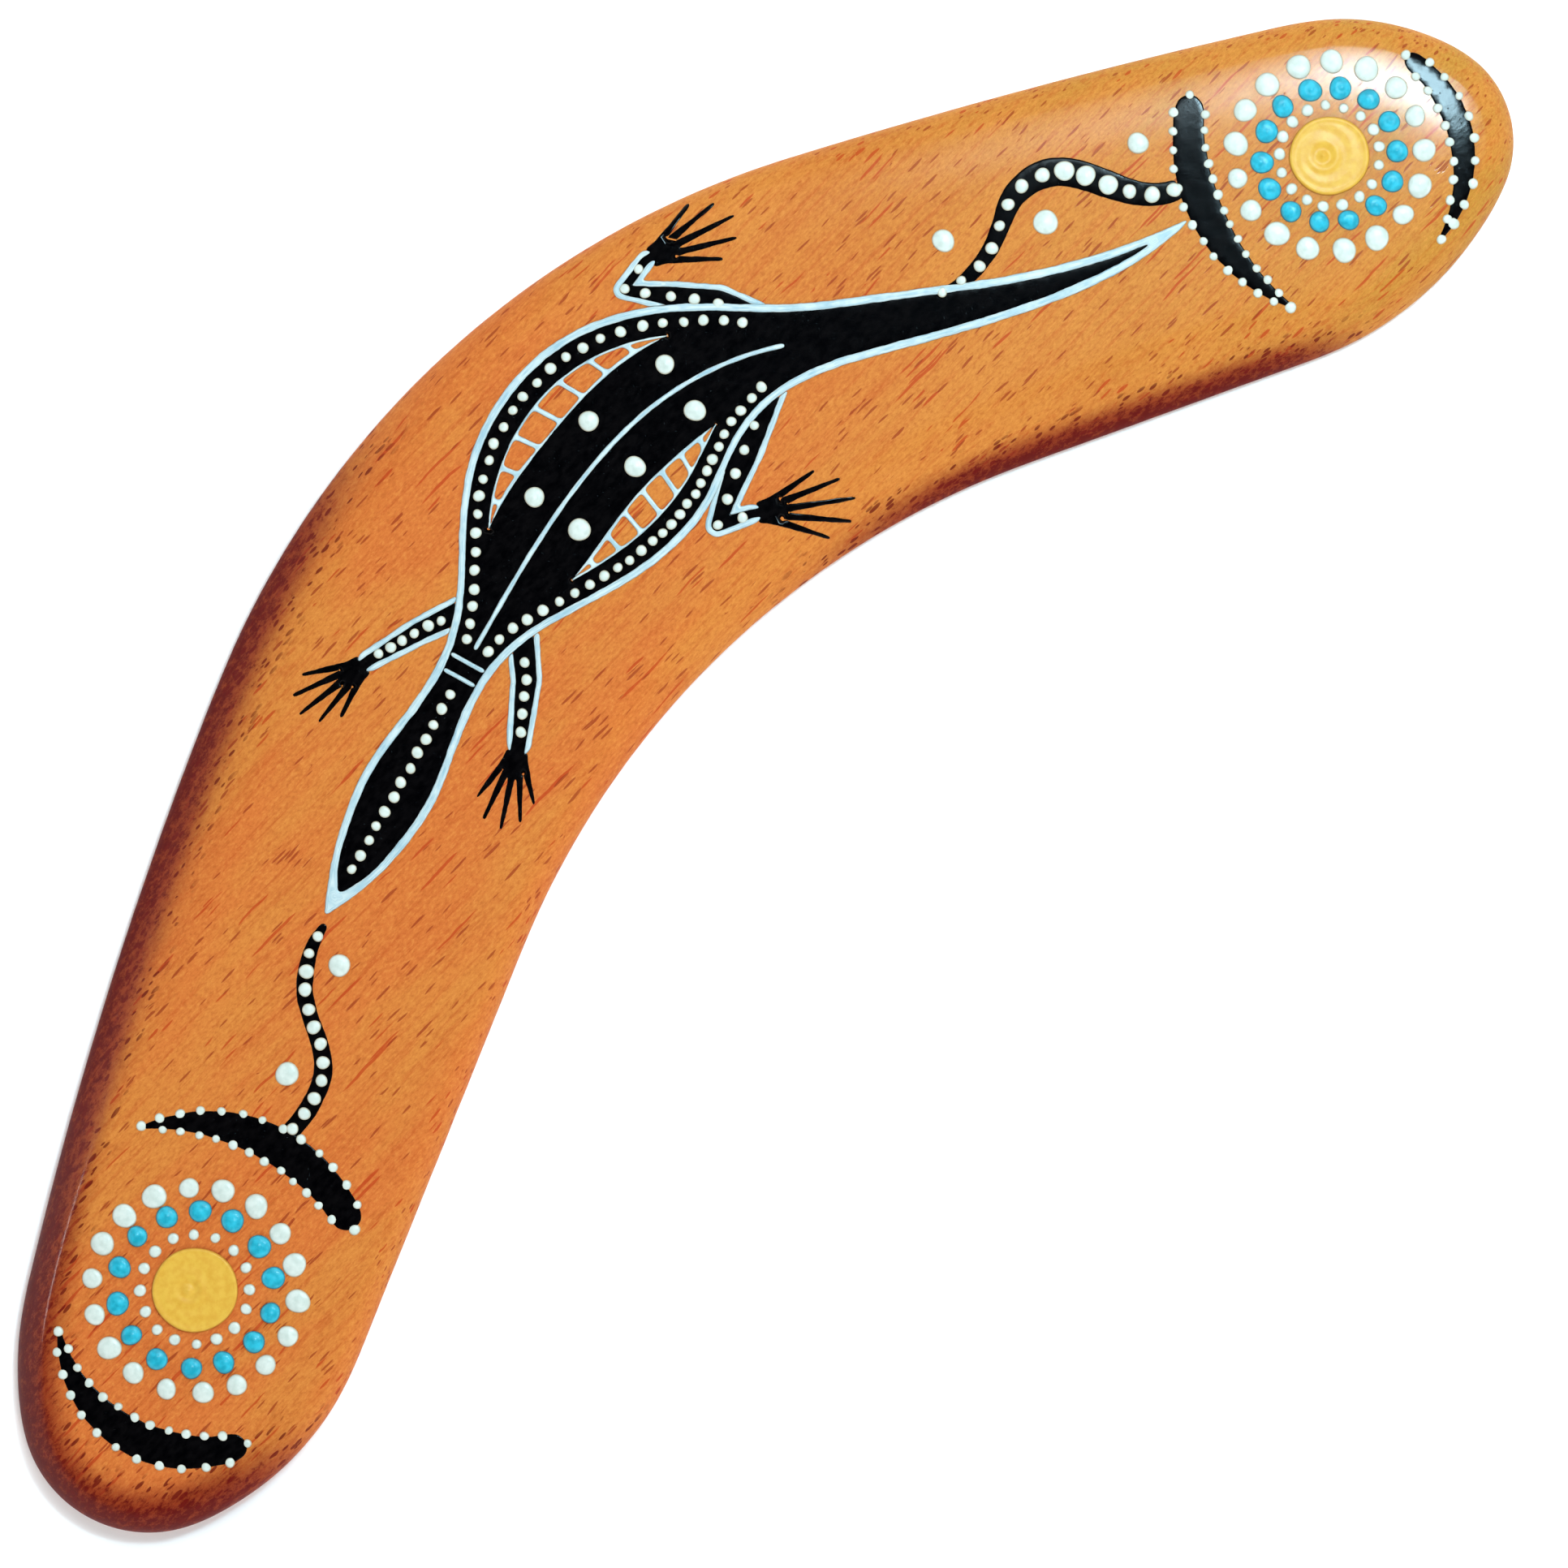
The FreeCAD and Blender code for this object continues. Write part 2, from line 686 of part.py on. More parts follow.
def stroke(curve, first, last, wide):
    """A band of even width along a curve."""
    count = max(4, round((last - first) / 12))
    steps = [mix(first, last, number / (count - 1)) for number in range(count)]
    return ribbon(curve, [(step, wide / 2) for step in steps])


def straight(start, end, wide):
    """A straight bar of even width."""
    along = (end - start).normalize()
    off = flat(-along.y, along.x) * (wide / 2)
    corners = [start + off, end + off, end - off, start - off, start + off]
    return face_up(Part.makePolygon(corners))


def lizard_trunk(lizard):
    """Black film from head to tail with its windows, white outline and inner strokes."""
    wide, fine = size("stroke_wide"), size("fine_stroke_wide")
    outer = lizard.skin(wide / 2, -NOSE_BEYOND, lizard.length)
    inner = lizard.skin(-wide / 2, NOSE_PAINT_DEEP, lizard.length - TAIL_PAINT_LONG)
    windows = [lizard.window(side) for side in (1, -1)]
    film = inner.cut(windows)
    laid("lizard_outline", single(outer.cut(inner)), "stroke_thick")
    laid("lizard_body", single(film))

    panes = [lizard.window(side, fine / 2) for side in (1, -1)]
    lines = [window.cut(pane) for window, pane in zip(windows, panes)]
    for side, pane in zip((1, -1), panes):
        for number in range(1, WINDOW_BARS + 1):
            where = mix(*WINDOW_ENDS, number / (WINDOW_BARS + 1))
            out = beside(lizard.back, where + WINDOW_BAR_LEAN / 2, side * lizard.half(where))
            into = beside(lizard.back, where - WINDOW_BAR_LEAN / 2, side)
            lines.append(straight(into, out, fine).common(pane))
    laid("lizard_window_lines", single(lines[0].fuse(lines[1:])), "stroke_thick")

    centre = stroke(lizard.back, *CENTRE_LINE, fine)
    laid("lizard_centre_line", centre, "stroke_thick", over="film_thick")
    bands = []
    for where in NECK_BANDS:
        reach = lizard.half(where)
        ends = [beside(lizard.back, where, side * reach) for side in (1, -1)]
        bands.append(straight(*ends, fine).common(inner))
    laid("lizard_neck_bands", Part.Compound(bands), "stroke_thick", over="film_thick")
    return outer


def lizard_dots(lizard):
    """Small drops inside the outline and down the head, and large ones on the trunk."""
    places = []
    for side in (1, -1):
        for number in range(BORDER_DOT_COUNT):
            where = mix(*BORDER_DOTS, number / (BORDER_DOT_COUNT - 1))
            offset = lizard.half(where) - BORDER_DOT_INSET
            if offset > size("small_dot_radius") + size("fine_stroke_wide"):
                places.append(beside(lizard.back, where, side * offset))
    drops("lizard_border_dots", places, "small_dot", over="film_thick")
    head = sample(lizard.back, *HEAD_DOTS, HEAD_DOT_COUNT)
    drops("lizard_head_dots", head, "small_dot", over="film_thick")
    trunk = [beside(lizard.back, where, side * off) for where, off in TRUNK_DROPS for side in (1, -1)]
    drops("lizard_trunk_drops", trunk, "big_dot", over="film_thick")


# Each leg: its joints from the trunk to the ankle with the half width at each, the way the
# foot points, how far its toes reach, how many dots it carries, and where the first one is.
LEGS = {
    "front_left": ([(-13, 23, 2.9), (-24, 27, 2.5), (-34, 29.8, 1.9)], 172, 15.5, 6, 7.5),
    "front_right": ([(-9.5, 16.5, 3.0), (-17, 7.8, 2.8), (-26, 0.8, 2.2)], 212, 15.5, 5, 8.5),
    "hind_left": ([(57, 20, 3.4), (53.6, 29.4, 3.4), (49, 36, 2.7), (43.6, 43.2, 1.7),
                   (50.2, 44, 1.7)], -19, 17.5, 6, 10.0),
    "hind_right": ([(51, 14, 3.6), (38.5, 8.4, 3.4), (25.6, 2.6, 2.1), (31.4, -0.4, 1.7)],
                   -37, 18.5, 6, 9.0),
}
TOE_SPREAD = (-26, -13, 0, 13, 26)
TOE_SHARE = (0.78, 0.95, 1.0, 0.9, 0.72)
PALM_LONG = 3.4
PALM_WIDE = 2.0
PALM_OUT = 2.8
TOE_ROOT_WIDE = 1.5
TOE_TIP_WIDE = 0.3


def foot(ankle, turn, reach):
    """A palm with five straight tapering toes."""
    centre = ankle + heading(turn) * PALM_OUT
    palm = Part.Ellipse(Vector(), PALM_LONG, PALM_WIDE).toShape()
    palm = face_up(Part.Wire(palm))
    palm.Placement = Placement(centre, Rotation(Vector(0, 0, 1), turn))
    toes = []
    for spread, share in zip(TOE_SPREAD, TOE_SHARE):
        along = heading(turn + spread)
        off = flat(-along.y, along.x)
        tip = ankle + along * reach * share
        corners = [ankle + off * TOE_ROOT_WIDE / 2, tip + off * TOE_TIP_WIDE / 2,
                   tip - off * TOE_TIP_WIDE / 2, ankle - off * TOE_ROOT_WIDE / 2]
        toes.append(face_up(Part.makePolygon(corners + corners[:1])))
    return single(palm.fuse(toes))


def limb(joints, grow):
    """A tapering limb through its joints, round at each."""
    parts = []
    for x, y, half in joints:
        ring = Part.Circle(flat(x, y), Vector(0, 0, 1), half + grow).toShape()
        parts.append(face_up(Part.Wire(ring)))
    for (x0, y0, half0), (x1, y1, half1) in zip(joints, joints[1:]):
        start, end = flat(x0, y0), flat(x1, y1)
        along = (end - start).normalize()
        off = flat(-along.y, along.x)
        wide0, wide1 = off * (half0 + grow), off * (half1 + grow)
        corners = [start + wide0, end + wide1, end - wide1, start - wide0, start + wide0]
        parts.append(face_up(Part.makePolygon(corners)))
    return single(parts[0].fuse(parts[1:]))


def lizard_leg(name, trunk):
    """A black leg and foot in one film, with a white line down each side of the leg."""
    joints, turn, reach, dot_count, first_dot = LEGS[name]
    x, y, half = joints[-1]
    ankle = flat(x, y)
    beyond = ankle + heading(turn) * (2 * half)
    outer = limb(joints, 0.0)
    inner = limb(joints + [(beyond.x, beyond.y, half)], -size("leg_stroke_wide"))
    line = outer.cut([inner, trunk])
    toes = foot(ankle, turn, reach)
    laid(f"{name}_leg_line", single(line), "stroke_thick")
    laid(f"{name}_leg", single(single(inner.fuse(toes)).cut([line, trunk])))
    route = Part.makePolygon([flat(*joint[:2]) for joint in joints])
    steps = [mix(first_dot, route.Length - 2.0, number / (dot_count - 1))
             for number in range(dot_count)]
    return [point_along(route, step) for step in steps]


def point_along(route, distance):
    """The point at a distance along a route of straight runs."""
    for edge in route.Edges:
        if distance <= edge.Length:
            return edge.valueAt(edge.getParameterByLength(distance))
        distance -= edge.Length
    return route.Edges[-1].valueAt(route.Edges[-1].LastParameter)


LOOSE_DROPS = {"left": [(-76, -3.8), (-95.9, -10.6)],
               "right": [(89, 8.9), (103.7, -1.5), (125, -3.6)]}


# ---------------------------------------------------------------- the whole object

def build():
    wooden_body(outline_sketch())
    crescents = {}
    for side in ("left", "right"):
        sun_disc(side)
        for kind in ("inner", "blue", "outer"):
            sun_ring(side, kind)
    for name in MOON_DOTS:
        crescents[name] = moon(name)
        doc.recompute()
        moon_dots(name, crescents[name])
    track("left_track", LEFT_TRACK, LEFT_TRACK_WIDTH, crescents["left_inner"],
          2.6, 38.5, [0.9, 1.0] + [1.2] * 10)
    track("right_track", RIGHT_TRACK, RIGHT_TRACK_WIDTH, crescents["right_inner"],
          2.5, 54.5, [0.9, 0.95, 1.0, 1.05, 1.1, 1.2, 1.3, 1.5, 1.8, 1.8, 1.6, 1.4, 1.3, 1.2])
    lizard = Lizard()
    trunk = lizard_trunk(lizard)
    lizard_dots(lizard)
    leg_dots = []
    for name in LEGS:
        leg_dots += lizard_leg(name, trunk)
    drops("lizard_leg_dots", leg_dots, "small_dot", over="film_thick")
    for side, places in LOOSE_DROPS.items():
        drops(f"{side}_loose_drops", [flat(*place) for place in places], "loose_dot")
    doc.recompute()


def sub_parts():
    """The objects that are pieces of the boomerang, by label."""
    pieces = {}
    for thing in doc.Objects:
        if thing.TypeId == "Spreadsheet::Sheet" or not hasattr(thing, "Shape"):
            continue
        if thing.Name == "WoodenBody" or thing.TypeId == "PartDesign::Body":
            pieces[thing.Label] = thing
        elif thing.TypeId in ("Part::Extrusion", "Part::Cut"):
            pieces[thing.Label] = thing
        elif thing.TypeId == "Part::Feature" and thing.Label.endswith(("dots", "drops")):
            pieces[thing.Label] = thing
    return {name: piece for name, piece in pieces.items() if not name.endswith("_uncut")}


def check_and_write():
    for thing in doc.Objects:
        if {"Invalid", "Error"} & set(thing.State):
            raise RuntimeError(f"{thing.Label} could not be built")
    os.makedirs("parts", exist_ok=True)
    for name, piece in sub_parts().items():
        shape = piece.Shape
        if shape.isNull() or not shape.isValid() or not shape.Solids:
            raise RuntimeError(f"{name} is not a valid solid")
        shape.exportStep(f"parts/{name}.step")
        print(f"{name}: {len(shape.Solids)} solids, {shape.Volume:.2f} mm3")


build()
check_and_write()
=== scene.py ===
"""Looks of a painted hardwood boomerang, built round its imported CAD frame.

The board is rebuilt as one fine varnished mesh with a slightly crowned face. Each layer of
paint is rebuilt from its CAD node: films and strokes get soft, hand-drawn edges, and dots
become separate drops. All of it is then laid on the crowned face.
Plan work is in millimetres, and meshes are made in metres.
"""

import math
import random

import bmesh
import bpy
import numpy as np
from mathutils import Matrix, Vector, noise
from mathutils.bvhtree import BVHTree
from mathutils.geometry import delaunay_2d_cdt
from mathutils.kdtree import KDTree


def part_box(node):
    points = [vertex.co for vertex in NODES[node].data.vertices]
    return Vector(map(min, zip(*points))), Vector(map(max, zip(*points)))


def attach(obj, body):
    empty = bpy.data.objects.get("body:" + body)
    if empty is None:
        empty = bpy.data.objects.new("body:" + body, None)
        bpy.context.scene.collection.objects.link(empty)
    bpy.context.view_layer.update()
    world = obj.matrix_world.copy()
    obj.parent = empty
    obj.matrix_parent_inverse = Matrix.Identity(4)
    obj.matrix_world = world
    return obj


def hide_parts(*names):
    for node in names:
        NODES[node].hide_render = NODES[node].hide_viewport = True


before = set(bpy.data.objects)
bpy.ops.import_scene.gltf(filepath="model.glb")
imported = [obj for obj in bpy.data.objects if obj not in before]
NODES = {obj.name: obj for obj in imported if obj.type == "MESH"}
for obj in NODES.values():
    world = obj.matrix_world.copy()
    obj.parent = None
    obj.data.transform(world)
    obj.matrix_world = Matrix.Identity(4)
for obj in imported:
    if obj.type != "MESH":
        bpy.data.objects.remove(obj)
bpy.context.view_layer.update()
MM = 0.001
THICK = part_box("wooden_body")[1].z / MM

# ---------------------------------------------------------------- plan geometry

WELD = 0.002  # CAD corners closer than this are one corner
LEVEL = 0.01  # corners this close to the top belong to the flat top
TEST_BATCH = 400  # points tested against an outline at one time, to save memory


def welded(name):
    """A CAD node's mesh in millimetres, with its doubled corners joined."""
    mesh = bmesh.new()
    mesh.from_mesh(NODES[name].data)
    bmesh.ops.scale(mesh, vec=Vector((1, 1, 1)) / MM, verts=mesh.verts)
    bmesh.ops.remove_doubles(mesh, verts=mesh.verts, dist=WELD)
    mesh.verts.index_update()
    return mesh


def chained(steps):
    """Closed loops of keys from a table of key to next key."""
    loops = []
    while steps:
        start, here = steps.popitem()
        loop = [start]
        while here != start and here in steps:
            loop.append(here)
            here = steps.pop(here)
        loops.append(loop)
    return loops


def top_outlines(name):
    """The outlines of a CAD film's flat top in plan, with the paint on their left."""
    mesh = welded(name)
    top = max(v.co.z for v in mesh.verts)
    lid = [f for f in mesh.faces if all(top - v.co.z < LEVEL for v in f.verts)]
    sides = {(a.vert.index, a.link_loop_next.vert.index) for f in lid for a in f.loops}
    steps = {a: b for a, b in sides if (b, a) not in sides}
    mesh.verts.ensure_lookup_table()
    return [np.array([mesh.verts[i].co[:2] for i in loop]) for loop in chained(steps)]


def level_outline(name, height):
    """The outline of a CAD solid cut level at a height, anticlockwise in plan."""
    mesh = welded(name)
    everything = mesh.verts[:] + mesh.edges[:] + mesh.faces[:]
    cut = bmesh.ops.bisect_plane(mesh, geom=everything, plane_co=(0, 0, height), plane_no=(0, 0, 1),
                                 clear_outer=True, clear_inner=True)["geom_cut"]
    neighbours = {}
    for edge in (e for e in cut if isinstance(e, bmesh.types.BMEdge)):
        a, b = edge.verts
        neighbours.setdefault(a, []).append(b)
        neighbours.setdefault(b, []).append(a)
    start = next(iter(neighbours))
    loop = [start, neighbours[start][0]]
    while loop[-1] is not start:
        loop.append(next(v for v in neighbours[loop[-1]] if v is not loop[-2]))
    points = np.array([v.co[:2] for v in loop[:-1]])
    ahead = np.roll(points, -1, 0)
    area = np.sum(points[:, 0] * ahead[:, 1] - ahead[:, 0] * points[:, 1])
    return points if area > 0 else points[::-1]


def islands(name):
    """The separate solids of a CAD node: an array of corners for each."""
    mesh = welded(name)
    left, found = set(mesh.verts), []
    while left:
        queue = [left.pop()]
        corners = []
        while queue:
            vert = queue.pop()
            corners.append(vert.co[:])
            for other in (e.other_vert(vert) for e in vert.link_edges):
                if other in left:
                    left.remove(other)
                    queue.append(other)
        found.append(np.array(corners))
    return sorted(found, key=lambda c: (round(c[:, 0].mean(), 1), c[:, 1].mean()))


def resampled(points, spacing):
    """Points at an even spacing round a closed outline."""
    ring = np.vstack([points, points[:1]])
    reach = np.concatenate([[0], np.cumsum(np.linalg.norm(np.diff(ring, axis=0), axis=1))])
    count = max(8, round(reach[-1] / spacing))
    at = np.arange(count) * reach[-1] / count
    return np.column_stack([np.interp(at, reach, ring[:, k]) for k in (0, 1)])


def softened(values, passes):
    """Values round a closed outline, each averaged with its neighbours."""
    for _ in range(passes):
        values = (np.roll(values, 1, 0) + 2 * values + np.roll(values, -1, 0)) / 4
    return values


def outward(points):
    """The direction away from the paint or wood at each point of an outline."""
    along = np.roll(points, -1, 0) - np.roll(points, 1, 0)
    across = np.column_stack([along[:, 1], -along[:, 0]])
    return across / np.maximum(np.linalg.norm(across, axis=1, keepdims=True), 1e-9)


def drift(points, reach, seed):
    """Smooth random values from -1 to 1, one for each point, that change over a reach."""
    return np.array([noise.noise(Vector((p[0] / reach, p[1] / reach, seed))) for p in points])


def tree_of(points):
    """A search tree of points in plan."""
    tree = KDTree(len(points))
    for i, point in enumerate(points):
        tree.insert((point[0], point[1], 0), i)
    tree.balance()
    return tree


def distances(points, tree):
    """How far each point is from the nearest one in the tree."""
    return np.array([tree.find((p[0], p[1], 0))[2] for p in points])


def inside(points, loops):
    """Whether each point lies inside the loops, by the even-odd rule."""
    start = np.vstack(loops)
    end = np.vstack([np.roll(loop, -1, 0) for loop in loops])
    rise = end[:, 1] - start[:, 1]
    rise[rise == 0] = 1e-12
    found = []
    for part in np.array_split(points, len(points) // TEST_BATCH + 1):
        x, y = part[:, :1], part[:, 1:]
        spans = (start[:, 1] > y) != (end[:, 1] > y)
        crossing = start[:, 0] + (y - start[:, 1]) / rise * (end[:, 0] - start[:, 0])
        found.append((spans & (x < crossing)).sum(1) % 2 == 1)
    return np.concatenate(found)


def lattice(loops, spacing, clear, tree):
    """Points of a triangular lattice inside the loops, at least clear away from them."""
    low, high = np.vstack(loops).min(0), np.vstack(loops).max(0)
    rows = np.arange(low[1], high[1], spacing * math.sqrt(3) / 2)
    points = [(x + (spacing / 2 if row % 2 else 0), y) for row, y in enumerate(rows)
              for x in np.arange(low[0], high[0], spacing)]
    if not points:
        return np.empty((0, 2))
    points = np.array(points)
    points = points[inside(points, loops)]
    if not len(points):
        return points
    return points[distances(points, tree) > clear]


def triangulated(loops, inner):
    """Corners and triangles that fill the loops, using the inner points too."""
    sides, first = [], 0
    for loop in loops:
        sides += [(first + i, first + (i + 1) % len(loop)) for i in range(len(loop))]
        first += len(loop)
    corners = np.vstack([*loops, inner])
    full_hull, tolerance = 0, 1e-6
    made = delaunay_2d_cdt([Vector(c) for c in corners], sides, [], full_hull, tolerance)
    points = np.array([v[:] for v in made[0]])
    triangles = np.array(made[2])
    middles = points[triangles].mean(1)
    return points, triangles[inside(middles, loops)]


# ---------------------------------------------------------------- meshes and pieces


def new_object(name, corners, faces, marks=None):
    """A smooth-shaded object from corners in millimetres, with named numbers at the corners."""
    mesh = bpy.data.meshes.new(name)
    mesh.from_pydata((np.asarray(corners) * MM).tolist(), [], [list(map(int, f)) for f in faces])
    for mark, values in (marks or {}).items():
        stored = mesh.attributes.new(mark, "FLOAT", "POINT")
        stored.data.foreach_set("value", np.asarray(values, np.float32))
    tidy = bmesh.new()
    tidy.from_mesh(mesh)
    bmesh.ops.remove_doubles(tidy, verts=tidy.verts, dist=1e-6)
    bmesh.ops.dissolve_degenerate(tidy, edges=tidy.edges, dist=1e-7)
    bmesh.ops.delete(tidy, geom=[v for v in tidy.verts if not v.link_faces], context="VERTS")
    bmesh.ops.recalc_face_normals(tidy, faces=tidy.faces)
    tidy.to_mesh(mesh)
    tidy.free()
    mesh.shade_smooth()
    piece = bpy.data.objects.new(name, mesh)
    bpy.context.scene.collection.objects.link(piece)
    return piece


def hand_over(piece, node, finish):
    """The piece stands for a CAD node, rides with the board and gets its finish."""
    piece.data.materials.append(finish)
    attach(piece, "root")
    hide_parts(node)


def closed_sheet(points, triangles, top, bottom):
    """Corners and faces of a thin solid over a triangulation, pinched shut round its rim."""
    sides = np.vstack([triangles[:, [0, 1]], triangles[:, [1, 2]], triangles[:, [2, 0]]])
    keys, counts = np.unique(np.sort(sides, axis=1), axis=0, return_counts=True)
    rim = np.zeros(len(points), bool)
    rim[keys[counts == 1].ravel()] = True
    under = np.where(rim, np.arange(len(points)), np.arange(len(points)) + len(points))
    upper = np.column_stack([points, np.where(rim, bottom, top)])
    lower = np.column_stack([points, np.broadcast_to(bottom, len(points))])
    return np.vstack([upper, lower]), np.vstack([triangles, under[triangles][:, ::-1]])


# ---------------------------------------------------------------- the board

STATION_SPACING = 0.8  # between corners round the outline
CUT_HEIGHT = 2.2  # where the CAD board is cut level to find its outline
LOWER_ROUND = 0.9  # radius of the edge's lower corner
# Of the next three, the first value is for a leading edge and the second for a trailing one.
NOSE_RISE = (3.0, 1.4)  # height of the edge's widest line
BEVEL_WIDE = (5.2, 13.0)
BEVEL_POWER = (2.0, 1.45)  # 2 is a round bevel, and less is a flatter one
TIP_BEVEL = 5.4  # width of the bevel round each tip
TIP_FROM, TIP_TO = 95.0, 150.0  # distance from the middle over which an edge turns into a tip
LEFT_TRAILING = math.radians(115)  # the way each arm's trailing edge faces in plan
RIGHT_TRAILING = math.radians(-118)
CHANGE_OVER = 60.0  # half the stretch over which one arm's edges turn into the other's
CROWN_DROP = 0.6  # how much lower the face is at its border than along its middle
CROWN_REACH = 9.5  # how far in from the border most of that drop is
LOWER_STEPS, BEVEL_STEPS = 9, 30  # rings of corners below and above the widest line
FACE_SPACING, UNDER_SPACING = 2.0, 6.0  # inner corners of the face and of the underside
CLEAR_SHARE = 0.6  # how far they keep from the border, as a share of their spacing

# The dark red-brown along the trailing bevels and round the left tip is partly a real stain and partly
# painted shade, where those bevels turn away from the light.
LEFT_STAINED_AND_SHADED = math.radians(165)  # the way the stained and shaded edge of the left arm faces
LEFT_STAIN_AND_SHADE_FACING = (0.05, 0.5)  # from none to full stain and painted shade, as an edge turns that way
LEFT_STAIN_AND_SHADE_END = (-45, 20)  # x over which the left arm's stain and painted shade fade out
TIP_STAIN_AND_SHADE = (125, 165)  # distance from the middle over which the left tip's stain and painted shade set in
RIGHT_STAIN_AND_SHADE_FACING = (0.5, 0.85)
RIGHT_STAIN_AND_SHADE_START, RIGHT_STAIN_AND_SHADE_END = (10, 75), (108, 138)
RIGHT_STAIN_AND_SHADE = 1.1
LEFT_STAIN_AND_SHADE_DEEP = (-0.5, 11.0)  # depth inside the outline over which the stain and painted shade fade
RIGHT_STAIN_AND_SHADE_DEEP = (-0.7, 7.5)
TIP_STAIN_AND_SHADE_EXTRA = 1.5  # how much deeper it reaches at the left tip
BARE_UNDER = 1.0  # the stain and painted shade fade out over this height above the underside


def smooth(value, low, high):
    """0 below low and 1 above high, eased between them."""
    part = np.clip((np.asarray(value, float) - low) / (high - low), 0, 1)
    return part * part * (3 - 2 * part)


def mix(first, second, part):
    """The value that lies a part of the way from the first to the second."""
    return first + (second - first) * part


def facing(directions, angle):
    """From -1 to 1, how squarely directions face an angle in plan."""
    return directions[:, 0] * math.cos(angle) + directions[:, 1] * math.sin(angle)


def crowned(heights, depth):
    """Heights on the board with its face let down towards the border."""
    return heights - CROWN_DROP * np.exp(-(depth / CROWN_REACH) ** 2) * (heights / THICK) ** 2


class Edge:
    """The board's outline with the profile of its edge at each station."""

    def __init__(self):
        cut = softened(resampled(level_outline("wooden_body", CUT_HEIGHT), STATION_SPACING), 6)
        self.away = softened(outward(cut), 4)
        self.away /= np.linalg.norm(self.away, axis=1, keepdims=True)
        right = smooth(cut[:, 0], -CHANGE_OVER, CHANGE_OVER)
        left_side = 0.5 + 0.5 * facing(self.away, LEFT_TRAILING)
        right_side = 0.5 + 0.5 * facing(self.away, RIGHT_TRAILING)
        share = mix(left_side, right_side, right)
        tip = smooth(np.abs(cut[:, 0]), TIP_FROM, TIP_TO)
        self.nose = mix(*NOSE_RISE, share)
        self.bevel = mix(mix(*BEVEL_WIDE, share), TIP_BEVEL, tip)
        self.power = mix(*BEVEL_POWER, share)
        self.points = cut
        self.points = cut + self.away * self.inset(CUT_HEIGHT)[:, None]

    def inset(self, rise):
        """How far the edge has drawn in at a height."""
        below = np.clip((self.nose - rise) / self.nose, 0, 1)
        climb = np.clip((rise - self.nose) / (THICK - self.nose), 0, 1)
        under = LOWER_ROUND * (1 - np.sqrt(1 - below ** 2))
        return under + self.bevel * (1 - (1 - climb ** self.power) ** (1 / self.power))

    def ring(self, inset, rise):
        """One ring of corners, and how deep inside the outline it lies."""
        depth = np.broadcast_to(inset, len(self.points))
        plan = self.points - self.away * depth[:, None]
        return np.column_stack([plan, crowned(np.broadcast_to(rise, len(plan)), depth)])

    def rings(self):
        """Rings from the underside up over the nose to the border of the face."""
        turn = np.linspace(math.pi / 2, 0, LOWER_STEPS)
        made = [self.ring(LOWER_ROUND * (1 - math.cos(a)), self.nose * (1 - math.sin(a))) for a in turn]
        for a in np.linspace(0, math.pi / 2, BEVEL_STEPS)[1:]:
            inset = self.bevel * (1 - math.cos(a) ** (2 / self.power))
            rise = self.nose + (THICK - self.nose) * math.sin(a) ** (2 / self.power)
            made.append(self.ring(inset, rise))
        return made


def dark_share(edge):
    """How dark the stain and painted shade are at each station of the left arm, its tip alone, and the
    right arm.
    """
    x = edge.points[:, 0]
    left = smooth(facing(edge.away, LEFT_STAINED_AND_SHADED), *LEFT_STAIN_AND_SHADE_FACING) * (1 - smooth(x, *LEFT_STAIN_AND_SHADE_END))
    tip = smooth(-x, *TIP_STAIN_AND_SHADE)
    right = RIGHT_STAIN_AND_SHADE * smooth(facing(edge.away, RIGHT_TRAILING), *RIGHT_STAIN_AND_SHADE_FACING)
    right = right * smooth(x, *RIGHT_STAIN_AND_SHADE_START) * (1 - smooth(x, *RIGHT_STAIN_AND_SHADE_END))
    return np.maximum(left, tip), tip, right


def board():
    """The wooden body as one closed mesh, with its edge depth and its stain and painted shade at every
    corner.
    """
    edge = Edge()
    rings = edge.rings()
    count = len(edge.points)
    corners = [np.vstack(rings)]
    faces = []
    for level in range(len(rings) - 1):
        for i in range(count):
            j = (i + 1) % count
            base = level * count
            faces.append((base + i, base + j, base + count + j, base + count + i))
    border = tree_of(edge.points)
    for ring, spacing in ((rings[-1], FACE_SPACING), (rings[0], UNDER_SPACING)):
        loop = [ring[:, :2]]
        inner = lattice(loop, spacing, CLEAR_SHARE * spacing, tree_of(ring))
        points, triangles = triangulated(loop, inner)
        if ring is rings[-1]:
            heights = crowned(np.full(len(points), THICK), distances(points, border))
        else:
            heights = np.zeros(len(points))
            triangles = triangles[:, ::-1]
        first = sum(len(c) for c in corners)
        corners.append(np.column_stack([points, heights]))
        faces += [tuple(t + first) for t in triangles]
    corners = np.vstack(corners)
    left, tip, right = dark_share(edge)
    found = [border.find((c[0], c[1], 0)) for c in corners]
    depth = np.array([f[2] for f in found])
    nearest = np.array([f[1] for f in found])
    stain_and_shade = left[nearest] * (1 - smooth(depth - TIP_STAIN_AND_SHADE_EXTRA * tip[nearest], *LEFT_STAIN_AND_SHADE_DEEP))
    stain_and_shade = np.maximum(stain_and_shade, right[nearest] * (1 - smooth(depth, *RIGHT_STAIN_AND_SHADE_DEEP)))
    above = smooth(corners[:, 2], 0.0, BARE_UNDER)
    return new_object("varnished_body", corners, faces, {"stain_and_shade": stain_and_shade * above, "depth": depth})


# ---------------------------------------------------------------- paint

